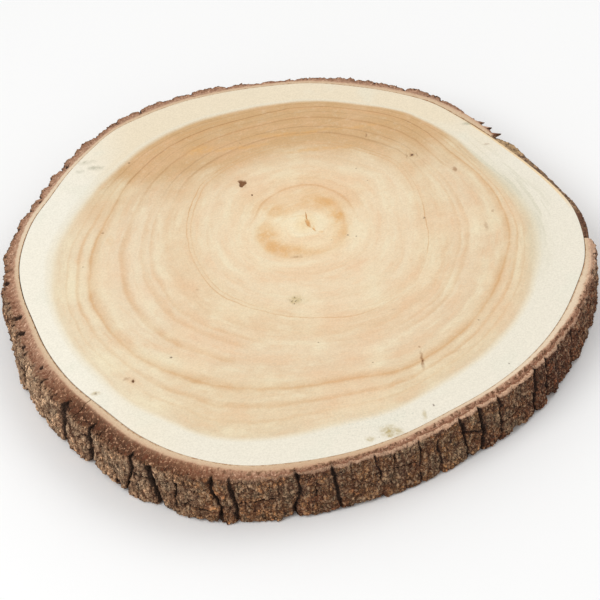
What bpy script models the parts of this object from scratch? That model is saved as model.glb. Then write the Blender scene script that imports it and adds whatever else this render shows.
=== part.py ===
"""A wood slice: a disc sawn across a trunk, lying flat, with its bark still round it.

Four solids: the disc of wood, the bark round the front, the bark round the back, and the thin
strip of inner bark that is left where a piece of the outer bark has broken away.
The origin is at the middle of the underside, +Z is up and -Y is the front.
Lengths are in millimetres and angles in degrees, anticlockwise from +X seen from above.
"""
import math

import bmesh
import bpy
import numpy as np
from mathutils import Matrix, Vector

MM = 0.001

THICKNESS = 33.0
EDGE_BEVEL = 0.35
WOOD_SIDES = 120

# The edge of the wood seen from above. A real trunk is no circle: this one is flatter at the
# upper right and has low corners at the left.
WOOD_EDGE = [
    (152.2, 2.0), (149.6, 19.0), (143.2, 35.0), (134.7, 51.0), (124.0, 68.5), (111.5, 87.0),
    (100.0, 102.0), (85.0, 118.5), (67.0, 130.0), (45.0, 139.8), (20.0, 147.5), (-8.0, 149.2),
    (-33.0, 147.6), (-56.0, 143.0), (-77.0, 134.5), (-94.0, 124.5), (-107.0, 110.0),
    (-119.0, 93.5), (-131.0, 71.5), (-138.5, 57.5), (-144.5, 38.5), (-147.2, 18.0),
    (-145.3, -3.0), (-140.0, -24.0), (-132.5, -48.5), (-120.5, -73.0), (-104.0, -95.5),
    (-86.0, -117.5), (-64.0, -134.5), (-38.0, -145.0), (-10.0, -147.0), (18.0, -144.0),
    (43.0, -136.5), (66.0, -125.0), (90.0, -111.0), (112.0, -92.5), (129.5, -70.5),
    (142.5, -45.5), (150.5, -24.0),
]

# Where each stretch of bark starts and ends. The two long ones part at a radial crack.
RADIAL_CRACK = 218.4
CRACK_HALF_WIDTH = 0.13
BREAK_RIGHT = -3.1
BREAK_UPPER_RIGHT = 35.5
BREAK_HALF_WIDTH = 0.3

# Bark thickness round each stretch, as (angle, millimetres).
FRONT_THICKNESS = [
    (218.5, 11.8), (225, 12.0), (230, 12.2), (236, 10.8), (240, 9.9), (250, 10.4), (256, 8.6),
    (261, 7.2), (270, 6.3), (280, 5.7), (290, 6.2), (300, 6.1), (310, 6.5), (320, 7.1),
    (330, 6.3), (340, 6.9), (348, 7.4), (352, 7.0), (355, 5.8), (356.7, 3.8),
]
BACK_THICKNESS = [
    (35.7, 2.6), (37.5, 3.8), (41, 4.4), (46, 5.4), (52, 6.0), (60, 6.2), (66, 6.4), (71, 7.0),
    (76, 6.4), (82, 5.6), (89, 5.2), (95, 5.6), (101, 6.4), (107, 7.2), (113, 7.8), (120, 7.4),
    (126, 6.2), (130, 4.8), (134, 6.2), (140, 7.4), (150, 7.6), (157, 6.8), (162, 7.0),
    (168, 8.7), (175, 9.9), (182, 10.8), (190, 12.0), (200, 12.1), (210, 12.1), (218.3, 11.8),
]
STRIP_THICKNESS = [
    (-2.9, 2.4), (0, 3.0), (4, 2.8), (10, 1.9), (15, 1.7), (20, 2.3), (25, 3.0), (29, 4.2),
    (31, 4.4), (33, 3.2), (34.5, 1.8), (35.3, 1.2),
]
# Splinters of torn bark that stand out at the upper right: angle, millimetres, half width.
TORN_TEETH = [(36.4, 3.6, 0.5), (39.2, 3.2, 0.5), (41.8, 2.4, 0.6)]

# Width of the smooth sawn face of the inner bark, next to the wood.
LEDGE_WIDTH = [
    (36, 1.8), (40, 3.2), (45, 4.0), (52, 3.2), (60, 3.0), (75, 2.6), (90, 2.4), (105, 2.2),
    (120, 2.4), (130, 1.8), (140, 2.2), (150, 2.6), (160, 2.8), (170, 2.6), (190, 3.0),
    (200, 3.4), (215, 3.4), (225, 4.4), (240, 4.3), (252, 3.6), (262, 4.4), (272, 3.4),
    (282, 3.0), (292, 2.6), (305, 2.4), (318, 2.8), (330, 3.6), (338, 4.9), (344, 4.6),
    (350, 3.4), (356, 2.2),
]
# How far the outer edge of the bark lies below the sawn face.
SHOULDER_DROP = [
    (36, 1.4), (60, 2.0), (90, 1.6), (120, 2.5), (150, 2.6), (175, 3.0), (190, 3.6), (205, 3.6),
    (218, 3.2), (230, 3.0), (245, 2.6), (262, 2.2), (280, 1.7), (300, 1.3), (320, 1.5),
    (335, 2.3), (350, 2.6), (356, 1.8),
]
# Width of the crack between wood and bark, and the least it is where the bark still holds on.
TIGHT_GAP = 0.3
CRACK_WIDTH = [
    (36, 0.7), (50, 0.6), (60, 0.3), (140, 0.3), (152, 0.5), (165, 0.7), (200, 0.9), (225, 0.9),
    (238, 0.6), (247, 0.3), (318, 0.3), (330, 0.5), (345, 0.6), (356, 0.4),
]

# Furrows between the bark plates: angles at FURROW_HEIGHTS from the top down, half width, depth,
# and the heights between which the furrow runs. These are the ones of the front.
FURROW_HEIGHTS = (33.0, 22.0, 11.0, 0.0)
THROUGH = (-9.0, 42.0)
FRONT_FURROWS = [
    (177.0, 177.2, 177.1, 176.8, 1.8, 3.0, THROUGH),
    (182.2, 182.0, 182.4, 182.6, 1.5, 2.4, THROUGH),
    (187.0, 187.3, 187.1, 187.2, 1.8, 3.2, THROUGH),
    (191.5, 191.4, 191.9, 191.7, 1.9, 3.4, THROUGH),
    (197.5, 197.2, 196.9, 197.1, 1.5, 2.4, THROUGH),
    (201.6, 201.9, 202.3, 202.0, 1.6, 2.8, THROUGH),
    (206.1, 205.8, 205.4, 205.6, 1.4, 2.2, THROUGH),
    (209.4, 209.6, 210.0, 210.2, 1.3, 2.0, THROUGH),
    (214.8, 214.6, 213.9, 213.6, 2.6, 4.4, THROUGH),
    (222.9, 222.6, 222.2, 221.8, 1.8, 3.2, THROUGH),
    (225.9, 225.6, 225.9, 225.5, 1.3, 1.8, (6.0, 42.0)),
    (228.6, 229.0, 229.6, 229.9, 1.5, 2.9, THROUGH),
    (234.5, 234.2, 232.5, 231.6, 1.7, 2.9, THROUGH),
    (237.4, 238.0, 239.0, 239.3, 2.4, 4.0, (-9.0, 31.0)),
    (243.4, 243.3, 242.9, 242.8, 1.7, 2.8, (2.0, 26.0)),
    (250.1, 250.5, 251.8, 251.2, 1.8, 3.0, THROUGH),
    (253.6, 253.9, 254.4, 254.4, 1.8, 2.8, THROUGH),
    (259.2, 258.8, 259.3, 259.5, 1.2, 1.2, (0.0, 20.0)),
    (262.6, 262.4, 262.1, 262.4, 1.3, 2.0, (15.0, 42.0)),
    (265.6, 266.0, 265.2, 264.7, 1.9, 3.2, THROUGH),
    (269.0, 269.3, 269.0, 268.8, 1.2, 1.4, (4.0, 25.0)),
    (272.3, 272.6, 273.1, 273.4, 1.7, 2.6, THROUGH),
    (276.0, 275.8, 276.2, 276.0, 1.2, 1.4, THROUGH),
    (280.4, 281.0, 281.8, 281.4, 1.4, 2.0, THROUGH),
    (284.6, 284.2, 283.6, 283.9, 1.2, 1.6, (4.0, 30.0)),
    (289.5, 289.7, 289.5, 289.8, 1.4, 1.9, THROUGH),
    (293.5, 293.8, 294.2, 294.1, 1.3, 1.8, (-9.0, 27.0)),
    (298.7, 299.8, 300.4, 300.8, 1.7, 2.8, THROUGH),
    (303.3, 304.2, 304.4, 303.7, 1.8, 3.0, THROUGH),
    (308.6, 309.0, 308.6, 308.2, 1.6, 2.6, THROUGH),
    (311.6, 311.3, 311.7, 311.4, 1.2, 1.6, (18.0, 42.0)),
    (314.5, 314.2, 314.4, 314.0, 1.3, 1.7, THROUGH),
    (318.5, 318.4, 318.2, 318.0, 1.6, 3.2, THROUGH),
    (321.9, 321.7, 322.0, 321.8, 1.6, 2.6, THROUGH),
    (326.4, 326.1, 326.6, 326.8, 1.5, 2.4, THROUGH),
    (331.8, 332.2, 332.0, 332.6, 1.7, 2.8, THROUGH),
    (337.0, 337.2, 337.6, 337.4, 1.5, 2.3, THROUGH),
    (342.3, 342.0, 342.5, 342.8, 1.5, 2.6, THROUGH),
    (347.4, 347.6, 347.2, 347.5, 1.4, 2.2, THROUGH),
    (351.8, 352.0, 351.7, 352.0, 1.3, 2.0, THROUGH),
]
# Plates whose lower end has broken off: angle, half width in degrees, height lost.
CHIPS = [(226.0, 3.4, 1.8), (312.4, 1.6, 2.2), (322.6, 1.4, 3.6), (333.6, 1.2, 2.2)]

# The rest of the bark, which the front does not show, has furrows of the same kind.
HIDDEN_ARC = (38.0, 174.0)
FURROW_SPACING = (3.9, 6.6)
SEED = 12
PLATE_STEP = 1.1
FLAKE_DEPTH = 0.35
LOWEST_RISE = 0.25
RAGGED_RISE = 1.1

# Grid of each bark solid: widest and least step between columns in degrees, and its rows of wall.
COLUMN_STEP = 1.35
LEAST_STEP = 0.22
WALL_TOP = THICKNESS - 2.5
WALL_SHARES = (0.90, 0.74, 0.57, 0.40, 0.24, 0.10)
# The bark's lower edge is rounded, and nowhere is it thinner than its least body.
FOOT_INSET = 0.6
FOOT_ROUND = 1.2
MIN_BODY = 1.2
# The sawn inner bark lies a hair below the wood. Behind it runs a groove, whose place and depth
# are shares of the way out to the crown of the bark and of the drop to it.
SAWN_DIP = 0.1
GROOVE_PLACE = 0.45
GROOVE_SHARE = 0.75
# The flanks of a furrow are this share of its half width.
FLANK_SHARE = 0.62

# Insect holes: x, y, radius, depth, stretch along y.
HOLES = [(-24.7, 67.5, 2.0, 12.0, 1.0), (-23.9, 65.4, 1.9, 11.0, 1.0), (-19.5, 55.8, 0.65, 5.0, 1.7)]
HOLE_SIDES = 14
# The check in the pith: middle, length, width, depth, turn.
PITH_CHECK = (9.3, 29.0, 16.0, 1.9, 2.4, 10.0)


def curve_through(pairs, closed=False):
    """A smooth curve through (angle, value) pairs, as a function of an array of angles."""
    angles = np.array([p[0] for p in pairs], float)
    values = np.array([p[1] for p in pairs], float)
    if closed:
        angles = np.concatenate([angles[-3:] - 360.0, angles, angles[:3] + 360.0])
        values = np.concatenate([values[-3:], values, values[:3]])
    slopes = np.gradient(values, angles)

    def at(angle):
        angle = np.asarray(angle, float)
        if closed:
            angle = np.mod(angle, 360.0)
        angle = np.clip(angle, angles[0], angles[-1])
        i = np.clip(np.searchsorted(angles, angle, side="right") - 1, 0, len(angles) - 2)
        step = angles[i + 1] - angles[i]
        t = (angle - angles[i]) / step
        return (values[i] * (1 + 2 * t) * (1 - t) ** 2 + slopes[i] * step * t * (1 - t) ** 2
                + values[i + 1] * t * t * (3 - 2 * t) + slopes[i + 1] * step * t * t * (t - 1))
    return at


def edge_as_radii(points):
    """The outline's points as (angle, radius), in order of angle."""
    return sorted((math.degrees(math.atan2(y, x)) % 360.0, math.hypot(x, y)) for x, y in points)


wood_radius = curve_through(edge_as_radii(WOOD_EDGE), closed=True)
ledge_width = curve_through(LEDGE_WIDTH, closed=True)
shoulder_drop = curve_through(SHOULDER_DROP, closed=True)
open_crack = curve_through(CRACK_WIDTH, closed=True)


def crack_width(angle):
    """The crack between wood and bark, never closer than the tight gap."""
    return np.maximum(open_crack(angle), TIGHT_GAP)


def all_furrows():
    """The furrows of the front, and seeded ones of the same kind for the hidden arc."""
    draw = np.random.RandomState(SEED)
    furrows = list(FRONT_FURROWS)
    angle = HIDDEN_ARC[0] + 1.5
    while angle < HIDDEN_ARC[1]:
        path = [angle + draw.uniform(-0.45, 0.45) for _ in FURROW_HEIGHTS]
        deep = draw.uniform(1.6, 3.4)
        furrows.append((*path, 1.1 + 0.24 * deep, deep, THROUGH))
        angle += draw.uniform(*FURROW_SPACING)
    return sorted(furrows, key=lambda f: sum(f[:4]))


FURROWS = all_furrows()
PLATE_RISE = np.random.RandomState(SEED + 1).uniform(-PLATE_STEP, 0.15, len(FURROWS) + 1)
PLATE_FOOT = np.random.RandomState(SEED + 2).uniform(0.0, RAGGED_RISE, len(FURROWS) + 1)
FLAKES = np.random.RandomState(SEED + 3).uniform(-1.0, 1.0, (181, 9))


def furrow_angle(furrow, height):
    """The furrow's angle at a height."""
    return np.interp(-np.asarray(height, float), [-h for h in FURROW_HEIGHTS], furrow[:4])


def plate_number(angle, height):
    """Which plate, counted round from the first furrow, a point of the bark lies on."""
    return sum((furrow_angle(f, height) < angle).astype(int) for f in FURROWS)


def smooth_step(x):
    x = np.clip(x, 0.0, 1.0)
    return x * x * (3.0 - 2.0 * x)


def flakes(angle, height):
    """Small scales and hollows of the plates, between -1 and 1."""
    u = np.mod(angle, 360.0) / 2.0
    v = np.clip(height / 5.0 + 0.5, 0.0, 7.99)
    i, j = np.floor(u).astype(int), np.floor(v).astype(int)
    s, t = smooth_step(u - i), smooth_step(v - j)
    low = FLAKES[i, j] * (1 - s) + FLAKES[i + 1, j] * s
    high = FLAKES[i, j + 1] * (1 - s) + FLAKES[i + 1, j + 1] * s
    return low * (1 - t) + high * t


def bark_relief(angle, height):
    """How far the bark's outer face stands off its mean thickness, at angles and heights."""
    angle, height = np.broadcast_arrays(np.asarray(angle, float), np.asarray(height, float))
    relief = PLATE_RISE[plate_number(angle, height)] + FLAKE_DEPTH * flakes(angle, height)
    for furrow in FURROWS:
        half_width, depth, (low, high) = furrow[4:]
        away = np.radians(angle - furrow_angle(furrow, height)) * wood_radius(angle)
        runs = smooth_step((height - low) / 3.0) * smooth_step((high - height) / 3.0)
        relief = relief - depth * runs * np.exp(-(away / (FLANK_SHARE * half_width)) ** 2)
    return relief


def foot_height(angle):
    """How far the lower edge of the bark is above the ground: every plate ends a little apart."""
    rise = LOWEST_RISE + PLATE_FOOT[plate_number(angle, np.zeros_like(angle))]
    for centre, half_width, lost in CHIPS:
        rise = rise + lost * np.exp(-((angle - centre) / half_width) ** 4)
    return rise


def torn_teeth(angle):
    """Splinters of the torn end, as lengths added to the bark's upper edge."""
    out = np.zeros_like(angle)
    for centre, length, half_width in TORN_TEETH:
        out = out + length * np.clip(1 - np.abs(angle - centre) / half_width, 0, 1)
    return out


def column_angles(start, end):
    """Angles of a stretch's columns: on both lips and the bottom of each furrow, and between."""
    marks = [start, end]
    for furrow in FURROWS:
        middle = float(furrow_angle(furrow, THICKNESS / 2))
        lip = math.degrees(furrow[4] * 0.95 / float(wood_radius(middle)))
        if start + lip < middle < end - lip:
            marks += [middle - lip, middle, middle + lip]
    marks.sort()
    spaced = [marks[0]]
    for mark in marks[1:]:
        if mark - spaced[-1] > LEAST_STEP:
            spaced.append(mark)
    spaced[-1] = end
    columns = []
    for a, b in zip(spaced, spaced[1:]):
        pieces = max(1, math.ceil((b - a) / COLUMN_STEP))
        columns += [a + (b - a) * k / pieces for k in range(pieces)]
    return np.array(columns + [end])


def lean_with_furrows(columns, height):
    """The columns' angles at a height, leaning with the furrows and upright at both ends."""
    inside = [f for f in FURROWS if columns[0] < furrow_angle(f, THICKNESS / 2) < columns[-1]]
    middles = [float(furrow_angle(f, THICKNESS / 2)) for f in inside]
    shifts = [float(furrow_angle(f, height)) - m for f, m in zip(inside, middles)]
    return columns + np.interp(columns, [columns[0], *middles, columns[-1]], [0.0, *shifts, 0.0])


def bark_sections(columns, thickness, ledge, drop, gap, teeth, relief_share):
    """Rows of points round a stretch of bark, as arrays of x, y, z: one closed section a column."""
    rows = []
    top = lean_with_furrows(columns, THICKNESS)
    foot = lean_with_furrows(columns, 0.0)
    foot_rise = foot_height(foot)

    def add_row(angle, out, height):
        radius = (wood_radius(angle) + out) * MM
        height = np.broadcast_to(height, angle.shape) * MM
        turn = np.radians(angle)
        rows.append(np.stack([radius * np.cos(turn), radius * np.sin(turn), height], -1))

    def face(angle, height):
        out = thickness(angle) + relief_share * bark_relief(angle, height)
        return np.maximum(out, gap(angle) + MIN_BODY)

    crown = face(top, THICKNESS) + teeth(top)
    shelf = np.minimum(gap(top) + ledge(top), crown - 0.5)
    groove = shelf + GROOVE_PLACE * (crown - shelf)
    add_row(foot, gap(foot), foot_rise)
    add_row(top, gap(top), THICKNESS - SAWN_DIP)
    add_row(top, shelf, THICKNESS - SAWN_DIP)
    add_row(top, groove, THICKNESS - GROOVE_SHARE * drop(top) + FLAKE_DEPTH * flakes(3.0 * top, 7.0))
    add_row(top, crown, THICKNESS - drop(top))
    for share in WALL_SHARES:
        height = share * WALL_TOP
        angle = lean_with_furrows(columns, height)
        add_row(angle, face(angle, height), np.maximum(height, foot_rise + FOOT_ROUND))
    add_row(foot, face(foot, 0.0) - FOOT_INSET, foot_rise)
    rows.append(rows[0])
    return rows


def bark_stretch(name, start, end, thickness, material, ledge=ledge_width, drop=shoulder_drop,
                 gap=crack_width, teeth=np.zeros_like, relief_share=1.0):
    """A stretch of bark: a flat grid wrapped round the closed sections, its ends then filled."""
    columns = column_angles(start, end)
    rows = bark_sections(columns, thickness, ledge, drop, gap, teeth, relief_share)
    across, along = len(rows) - 1, len(columns) - 1
    bm = bmesh.new()
    bmesh.ops.create_grid(bm, x_segments=along, y_segments=across, size=1.0)
    for vert in bm.verts:
        column = round((vert.co.x + 1.0) / 2.0 * along)
        row = round((vert.co.y + 1.0) / 2.0 * across)
        vert.co = Vector(rows[row][column])
    bmesh.ops.remove_doubles(bm, verts=bm.verts, dist=0.00001)
    open_ends = [e for e in bm.edges if e.is_boundary]
    bmesh.ops.holes_fill(bm, edges=open_ends, sides=0)
    bmesh.ops.triangulate(bm, faces=bm.faces)
    bmesh.ops.recalc_face_normals(bm, faces=bm.faces)
    return finished_object(bm, name, material, 38.0)


def finished_object(bm, name, material, sharp_angle):
    mesh = bpy.data.meshes.new(name)
    bm.to_mesh(mesh)
    bm.free()
    mesh.shade_smooth()
    mesh.set_sharp_from_angle(angle=math.radians(sharp_angle))
    mesh.materials.append(material)
    obj = bpy.data.objects.new(name, mesh)
    parts.objects.link(obj)
    return obj


def wood_disc(name, material):
    """The disc: its outline filled, pulled up to the thickness, its sawn edges eased."""
    bm = bmesh.new()
    bmesh.ops.create_circle(bm, cap_ends=True, segments=WOOD_SIDES, radius=1.0)
    for vert in bm.verts:
        radius = float(wood_radius(math.degrees(math.atan2(vert.co.y, vert.co.x)))) * MM
        vert.co = vert.co.normalized() * radius
    pulled = bmesh.ops.extrude_face_region(bm, geom=bm.faces[:])
    top = [g for g in pulled["geom"] if isinstance(g, bmesh.types.BMVert)]
    bmesh.ops.translate(bm, verts=top, vec=(0.0, 0.0, THICKNESS * MM))
    bmesh.ops.recalc_face_normals(bm, faces=bm.faces)
    rims = [e for e in bm.edges if abs(e.verts[0].co.z - e.verts[1].co.z) < 1e-7]
    bmesh.ops.bevel(bm, geom=rims, offset=EDGE_BEVEL * MM, segments=1, affect="EDGES")
    disc = finished_object(bm, name, material, 30.0)
    for number, hole in enumerate(HOLES, 1):
        cut_from(disc, hole_cutter(f"hole_cutter_{number}", *hole))
    cut_from(disc, check_cutter("pith_check_cutter", *PITH_CHECK))
    return disc


def hole_cutter(name, x, y, radius, depth, stretch):
    bm = bmesh.new()
    bmesh.ops.create_cone(bm, cap_ends=True, segments=HOLE_SIDES, radius1=0.7 * radius * MM,
                          radius2=radius * MM, depth=2.0 * depth * MM,
                          matrix=Matrix.Diagonal((1.0, stretch, 1.0, 1.0)))
    return cutter_object(bm, name, Matrix.Translation((x * MM, y * MM, THICKNESS * MM)))


def check_cutter(name, x, y, length, width, depth, turn):
    """A long upside-down pyramid: the check is widest in the middle and ends in points."""
    bm = bmesh.new()
    bmesh.ops.create_cone(bm, cap_ends=True, segments=4, radius1=0.0, radius2=0.5,
                          depth=1.0, matrix=Matrix.Diagonal((2.0 * width * MM, 2.0 * length * MM,
                                                             2.0 * depth * MM, 1.0)))
    place = Matrix.Translation((x * MM, y * MM, THICKNESS * MM))
    return cutter_object(bm, name, place @ Matrix.Rotation(math.radians(turn), 4, "Z"))


def cutter_object(bm, name, place):
    mesh = bpy.data.meshes.new(name)
    bm.to_mesh(mesh)
    bm.free()
    obj = bpy.data.objects.new(name, mesh)
    obj.matrix_world = place
    obj.hide_render = True
    obj.display_type = "WIRE"
    cutters.objects.link(obj)
    return obj


def cut_from(solid, cutter):
    cut = solid.modifiers.new(cutter.name, "BOOLEAN")
    cut.operation = "DIFFERENCE"
    cut.object = cutter


def new_material(name, colour, roughness):
    material = bpy.data.materials.new(name)
    material.use_nodes = True
    shader = material.node_tree.nodes["Principled BSDF"]
    shader.inputs["Base Color"].default_value = (*colour, 1.0)
    shader.inputs["Roughness"].default_value = roughness
    shader.inputs["Metallic"].default_value = 0.0
    material.diffuse_color = (*colour, 1.0)
    return material


def new_collection(name):
    collection = bpy.data.collections.new(name)
    bpy.context.scene.collection.children.link(collection)
    return collection


for old in list(bpy.data.objects):
    bpy.data.objects.remove(old)
parts = new_collection("wood_slice")
cutters = new_collection("cutters")

pale_wood = new_material("pale_wood", (0.78, 0.65, 0.45), 0.75)
furrowed_bark = new_material("furrowed_bark", (0.13, 0.075, 0.045), 0.95)
aged_bark = new_material("aged_bark", (0.17, 0.105, 0.065), 0.95)
torn_bast = new_material("torn_bast", (0.23, 0.15, 0.08), 0.9)

wood_disc("wood_disc", pale_wood)
bark_stretch("bark_front", RADIAL_CRACK + CRACK_HALF_WIDTH, 360.0 + BREAK_RIGHT - BREAK_HALF_WIDTH,
             curve_through(FRONT_THICKNESS), furrowed_bark)
bark_stretch("bark_back", BREAK_UPPER_RIGHT + BREAK_HALF_WIDTH, RADIAL_CRACK - CRACK_HALF_WIDTH,
             curve_through(BACK_THICKNESS), aged_bark, teeth=torn_teeth)
bark_stretch("bark_strip", BREAK_RIGHT + BREAK_HALF_WIDTH, BREAK_UPPER_RIGHT - BREAK_HALF_WIDTH,
             curve_through(STRIP_THICKNESS), torn_bast,
             ledge=lambda angle: np.full_like(angle, 0.7),
             drop=lambda angle: np.full_like(angle, 0.9),
             gap=lambda angle: np.full_like(angle, TIGHT_GAP), relief_share=0.15)
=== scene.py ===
"""The looks of a wood slice: sawn wood with its growth rings, and the rough bark still round it.

Lengths are in millimetres and angles in degrees, anticlockwise from +X seen from above, until a
point goes into a mesh, which is in metres. The slice lies at the origin with its front at -Y.
"""
import math

import bpy
import numpy as np
from mathutils import Matrix, Vector


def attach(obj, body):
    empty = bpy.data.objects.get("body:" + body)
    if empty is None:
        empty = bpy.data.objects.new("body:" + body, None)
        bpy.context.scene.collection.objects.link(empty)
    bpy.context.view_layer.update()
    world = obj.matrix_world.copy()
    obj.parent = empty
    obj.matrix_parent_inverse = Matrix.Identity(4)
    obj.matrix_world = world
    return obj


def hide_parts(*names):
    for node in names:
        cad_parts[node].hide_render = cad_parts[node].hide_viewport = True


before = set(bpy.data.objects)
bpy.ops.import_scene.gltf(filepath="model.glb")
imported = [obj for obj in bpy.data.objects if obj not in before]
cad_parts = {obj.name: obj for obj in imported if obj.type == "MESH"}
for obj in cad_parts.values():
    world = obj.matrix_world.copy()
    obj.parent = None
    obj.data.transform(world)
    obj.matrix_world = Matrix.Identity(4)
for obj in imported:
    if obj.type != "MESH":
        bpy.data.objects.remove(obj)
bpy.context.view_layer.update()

MM = 0.001
THICKNESS = 33.0

# The edge of the wood seen from above.
WOOD_EDGE = [
    (152.2, 2.0), (149.6, 19.0), (143.2, 35.0), (134.7, 51.0), (124.0, 68.5), (111.5, 87.0),
    (100.0, 102.0), (85.0, 118.5), (67.0, 130.0), (45.0, 139.8), (20.0, 147.5), (-8.0, 149.2),
    (-33.0, 147.6), (-56.0, 143.0), (-77.0, 134.5), (-94.0, 124.5), (-107.0, 110.0),
    (-119.0, 93.5), (-131.0, 71.5), (-138.5, 57.5), (-144.5, 38.5), (-147.2, 18.0),
    (-145.3, -3.0), (-140.0, -24.0), (-132.5, -48.5), (-120.5, -73.0), (-104.0, -95.5),
    (-86.0, -117.5), (-64.0, -134.5), (-38.0, -145.0), (-10.0, -147.0), (18.0, -144.0),
    (43.0, -136.5), (66.0, -125.0), (90.0, -111.0), (112.0, -92.5), (129.5, -70.5),
    (142.5, -45.5), (150.5, -24.0),
]

# The pith, and rings of growth round it, from the amber heart out to the edge of the sapwood.
PITH = (9.0, 28.0)
AMBER_EDGE = [
    (-19, 27), (-18, 15), (-13, 6), (-5, 1), (3, 0), (15, 1.5), (24, 6), (29, 14), (30, 25),
    (28, 38), (22, 48), (12, 54), (0, 53), (-10, 46), (-14, 36),
]
THIN_RING = [
    (-56.5, 35), (-53, 52), (-47, 68), (-36, 80), (-20, 90), (0, 96), (30, 92), (50, 80),
    (60, 72), (66, 60), (70, 45), (72, 25), (72.5, 10), (68.5, -10), (60, -30), (45, -42),
    (30, -48), (5, -46.5), (-15, -39.5), (-33, -28.5), (-47, -12), (-52, 2), (-56, 20),
]
STRONG_RING = [
    (-109.5, -5), (-105, -27), (-95, -47), (-80, -66), (-60, -81), (-40, -90.5), (-10, -95),
    (20, -95), (50, -90), (70, -78), (88, -61), (100, -42), (109, -20), (115, 5), (113, 28),
    (105, 50), (92, 72), (74, 101), (60, 112), (40, 121), (10, 127), (-20, 122.5), (-40, 117),
    (-60, 107), (-80, 88), (-95, 60), (-103, 40), (-108, 20),
]
HEARTWOOD_EDGE = [
    (-128.5, 5), (-126.5, -20), (-118.5, -45), (-106, -68), (-92, -90), (-69, -110), (-55, -120),
    (-30, -127), (10, -124), (40, -117.5), (60, -106), (79, -94), (100, -73), (115, -49.5),
    (124, -15), (126, 10), (121, 30), (107, 60), (90, 90), (71, 110), (45, 123), (20, 130),
    (-20, 129.5), (-50, 122), (-80, 102.5), (-100, 79), (-118, 48), (-127.5, 20),
]
# Growth of each of them, which is about their mean radius.
AMBER_GROWTH = 24.0
THIN_GROWTH = 64.0
STRONG_GROWTH = 103.0
HEARTWOOD_GROWTH = 117.0
BARK_GROWTH = 141.0

# Where each stretch of bark starts and ends.
RADIAL_CRACK = 218.4
CRACK_HALF_WIDTH = 0.13
BREAK_RIGHT = -3.1
BREAK_UPPER_RIGHT = 35.5
BREAK_HALF_WIDTH = 0.3

# Bark thickness round each stretch, as (angle, thickness).
FRONT_THICKNESS = [
    (218.5, 11.8), (225, 12.0), (230, 12.2), (236, 10.8), (240, 9.9), (250, 10.4), (256, 8.6),
    (261, 7.2), (270, 6.3), (280, 5.7), (290, 6.2), (300, 6.1), (310, 6.5), (320, 7.1),
    (330, 6.3), (340, 6.9), (348, 7.4), (352, 7.0), (355, 5.8), (356.7, 3.8),
]
BACK_THICKNESS = [
    (35.7, 2.6), (37.5, 3.8), (41, 4.4), (46, 5.4), (52, 6.0), (60, 6.2), (66, 6.4), (71, 7.0),
    (76, 6.4), (82, 5.6), (89, 5.2), (95, 5.6), (101, 6.4), (107, 7.2), (113, 7.8), (120, 7.4),
    (126, 6.2), (130, 4.8), (134, 6.2), (140, 7.4), (150, 7.6), (157, 6.8), (162, 7.0),
    (168, 8.7), (175, 9.9), (182, 10.8), (190, 12.0), (200, 12.1), (210, 12.1), (218.3, 11.8),
]
STRIP_THICKNESS = [
    (-2.9, 2.4), (0, 3.0), (4, 2.8), (10, 1.9), (15, 1.7), (20, 2.3), (25, 3.0), (29, 4.2),
    (31, 4.4), (33, 3.2), (34.5, 1.8), (35.3, 1.2),
]
# Splinters of the torn end: angle, length, half width in degrees.
TORN_TEETH = [(36.3, 3.6, 0.5), (39.2, 4.0, 0.5), (41.6, 3.4, 0.5), (43.4, 1.4, 0.5),
              (87.2, 2.2, 0.25), (85.6, 1.6, 0.2), (84.9, 2.2, 0.2), (97.4, 1.6, 0.5)]

# Width of the smooth sawn face of the inner bark, and how far the outer edge lies below it.
LEDGE_WIDTH = [
    (36, 1.8), (40, 3.2), (45, 4.0), (52, 3.2), (60, 3.0), (75, 2.6), (90, 2.4), (105, 2.2),
    (120, 2.4), (130, 1.8), (140, 2.2), (150, 2.6), (160, 2.8), (170, 2.6), (190, 3.0),
    (200, 3.4), (215, 3.4), (225, 4.4), (240, 4.3), (252, 3.6), (262, 4.4), (272, 3.4),
    (282, 3.0), (292, 2.6), (305, 2.4), (318, 2.8), (330, 3.6), (338, 4.9), (344, 4.6),
    (350, 3.4), (356, 2.2),
]
SHOULDER_DROP = [
    (36, 1.4), (60, 2.0), (90, 1.6), (120, 2.5), (150, 2.6), (175, 3.0), (190, 3.6), (205, 3.6),
    (218, 3.2), (230, 3.0), (245, 2.6), (262, 2.2), (280, 1.7), (300, 1.3), (320, 1.5),
    (335, 2.3), (350, 2.6), (356, 1.8),
]
# The crack that opens between wood and bark. Where it is nought the bark still holds on.
HELD_GAP = 0.03
CRACK_WIDTH = [
    (36, 0.35), (50, 0.3), (60, 0.0), (140, 0.0), (152, 0.15), (165, 0.3), (200, 0.45),
    (225, 0.45), (238, 0.25), (247, 0.0), (318, 0.0), (330, 0.15), (345, 0.25), (356, 0.2),
]

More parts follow.
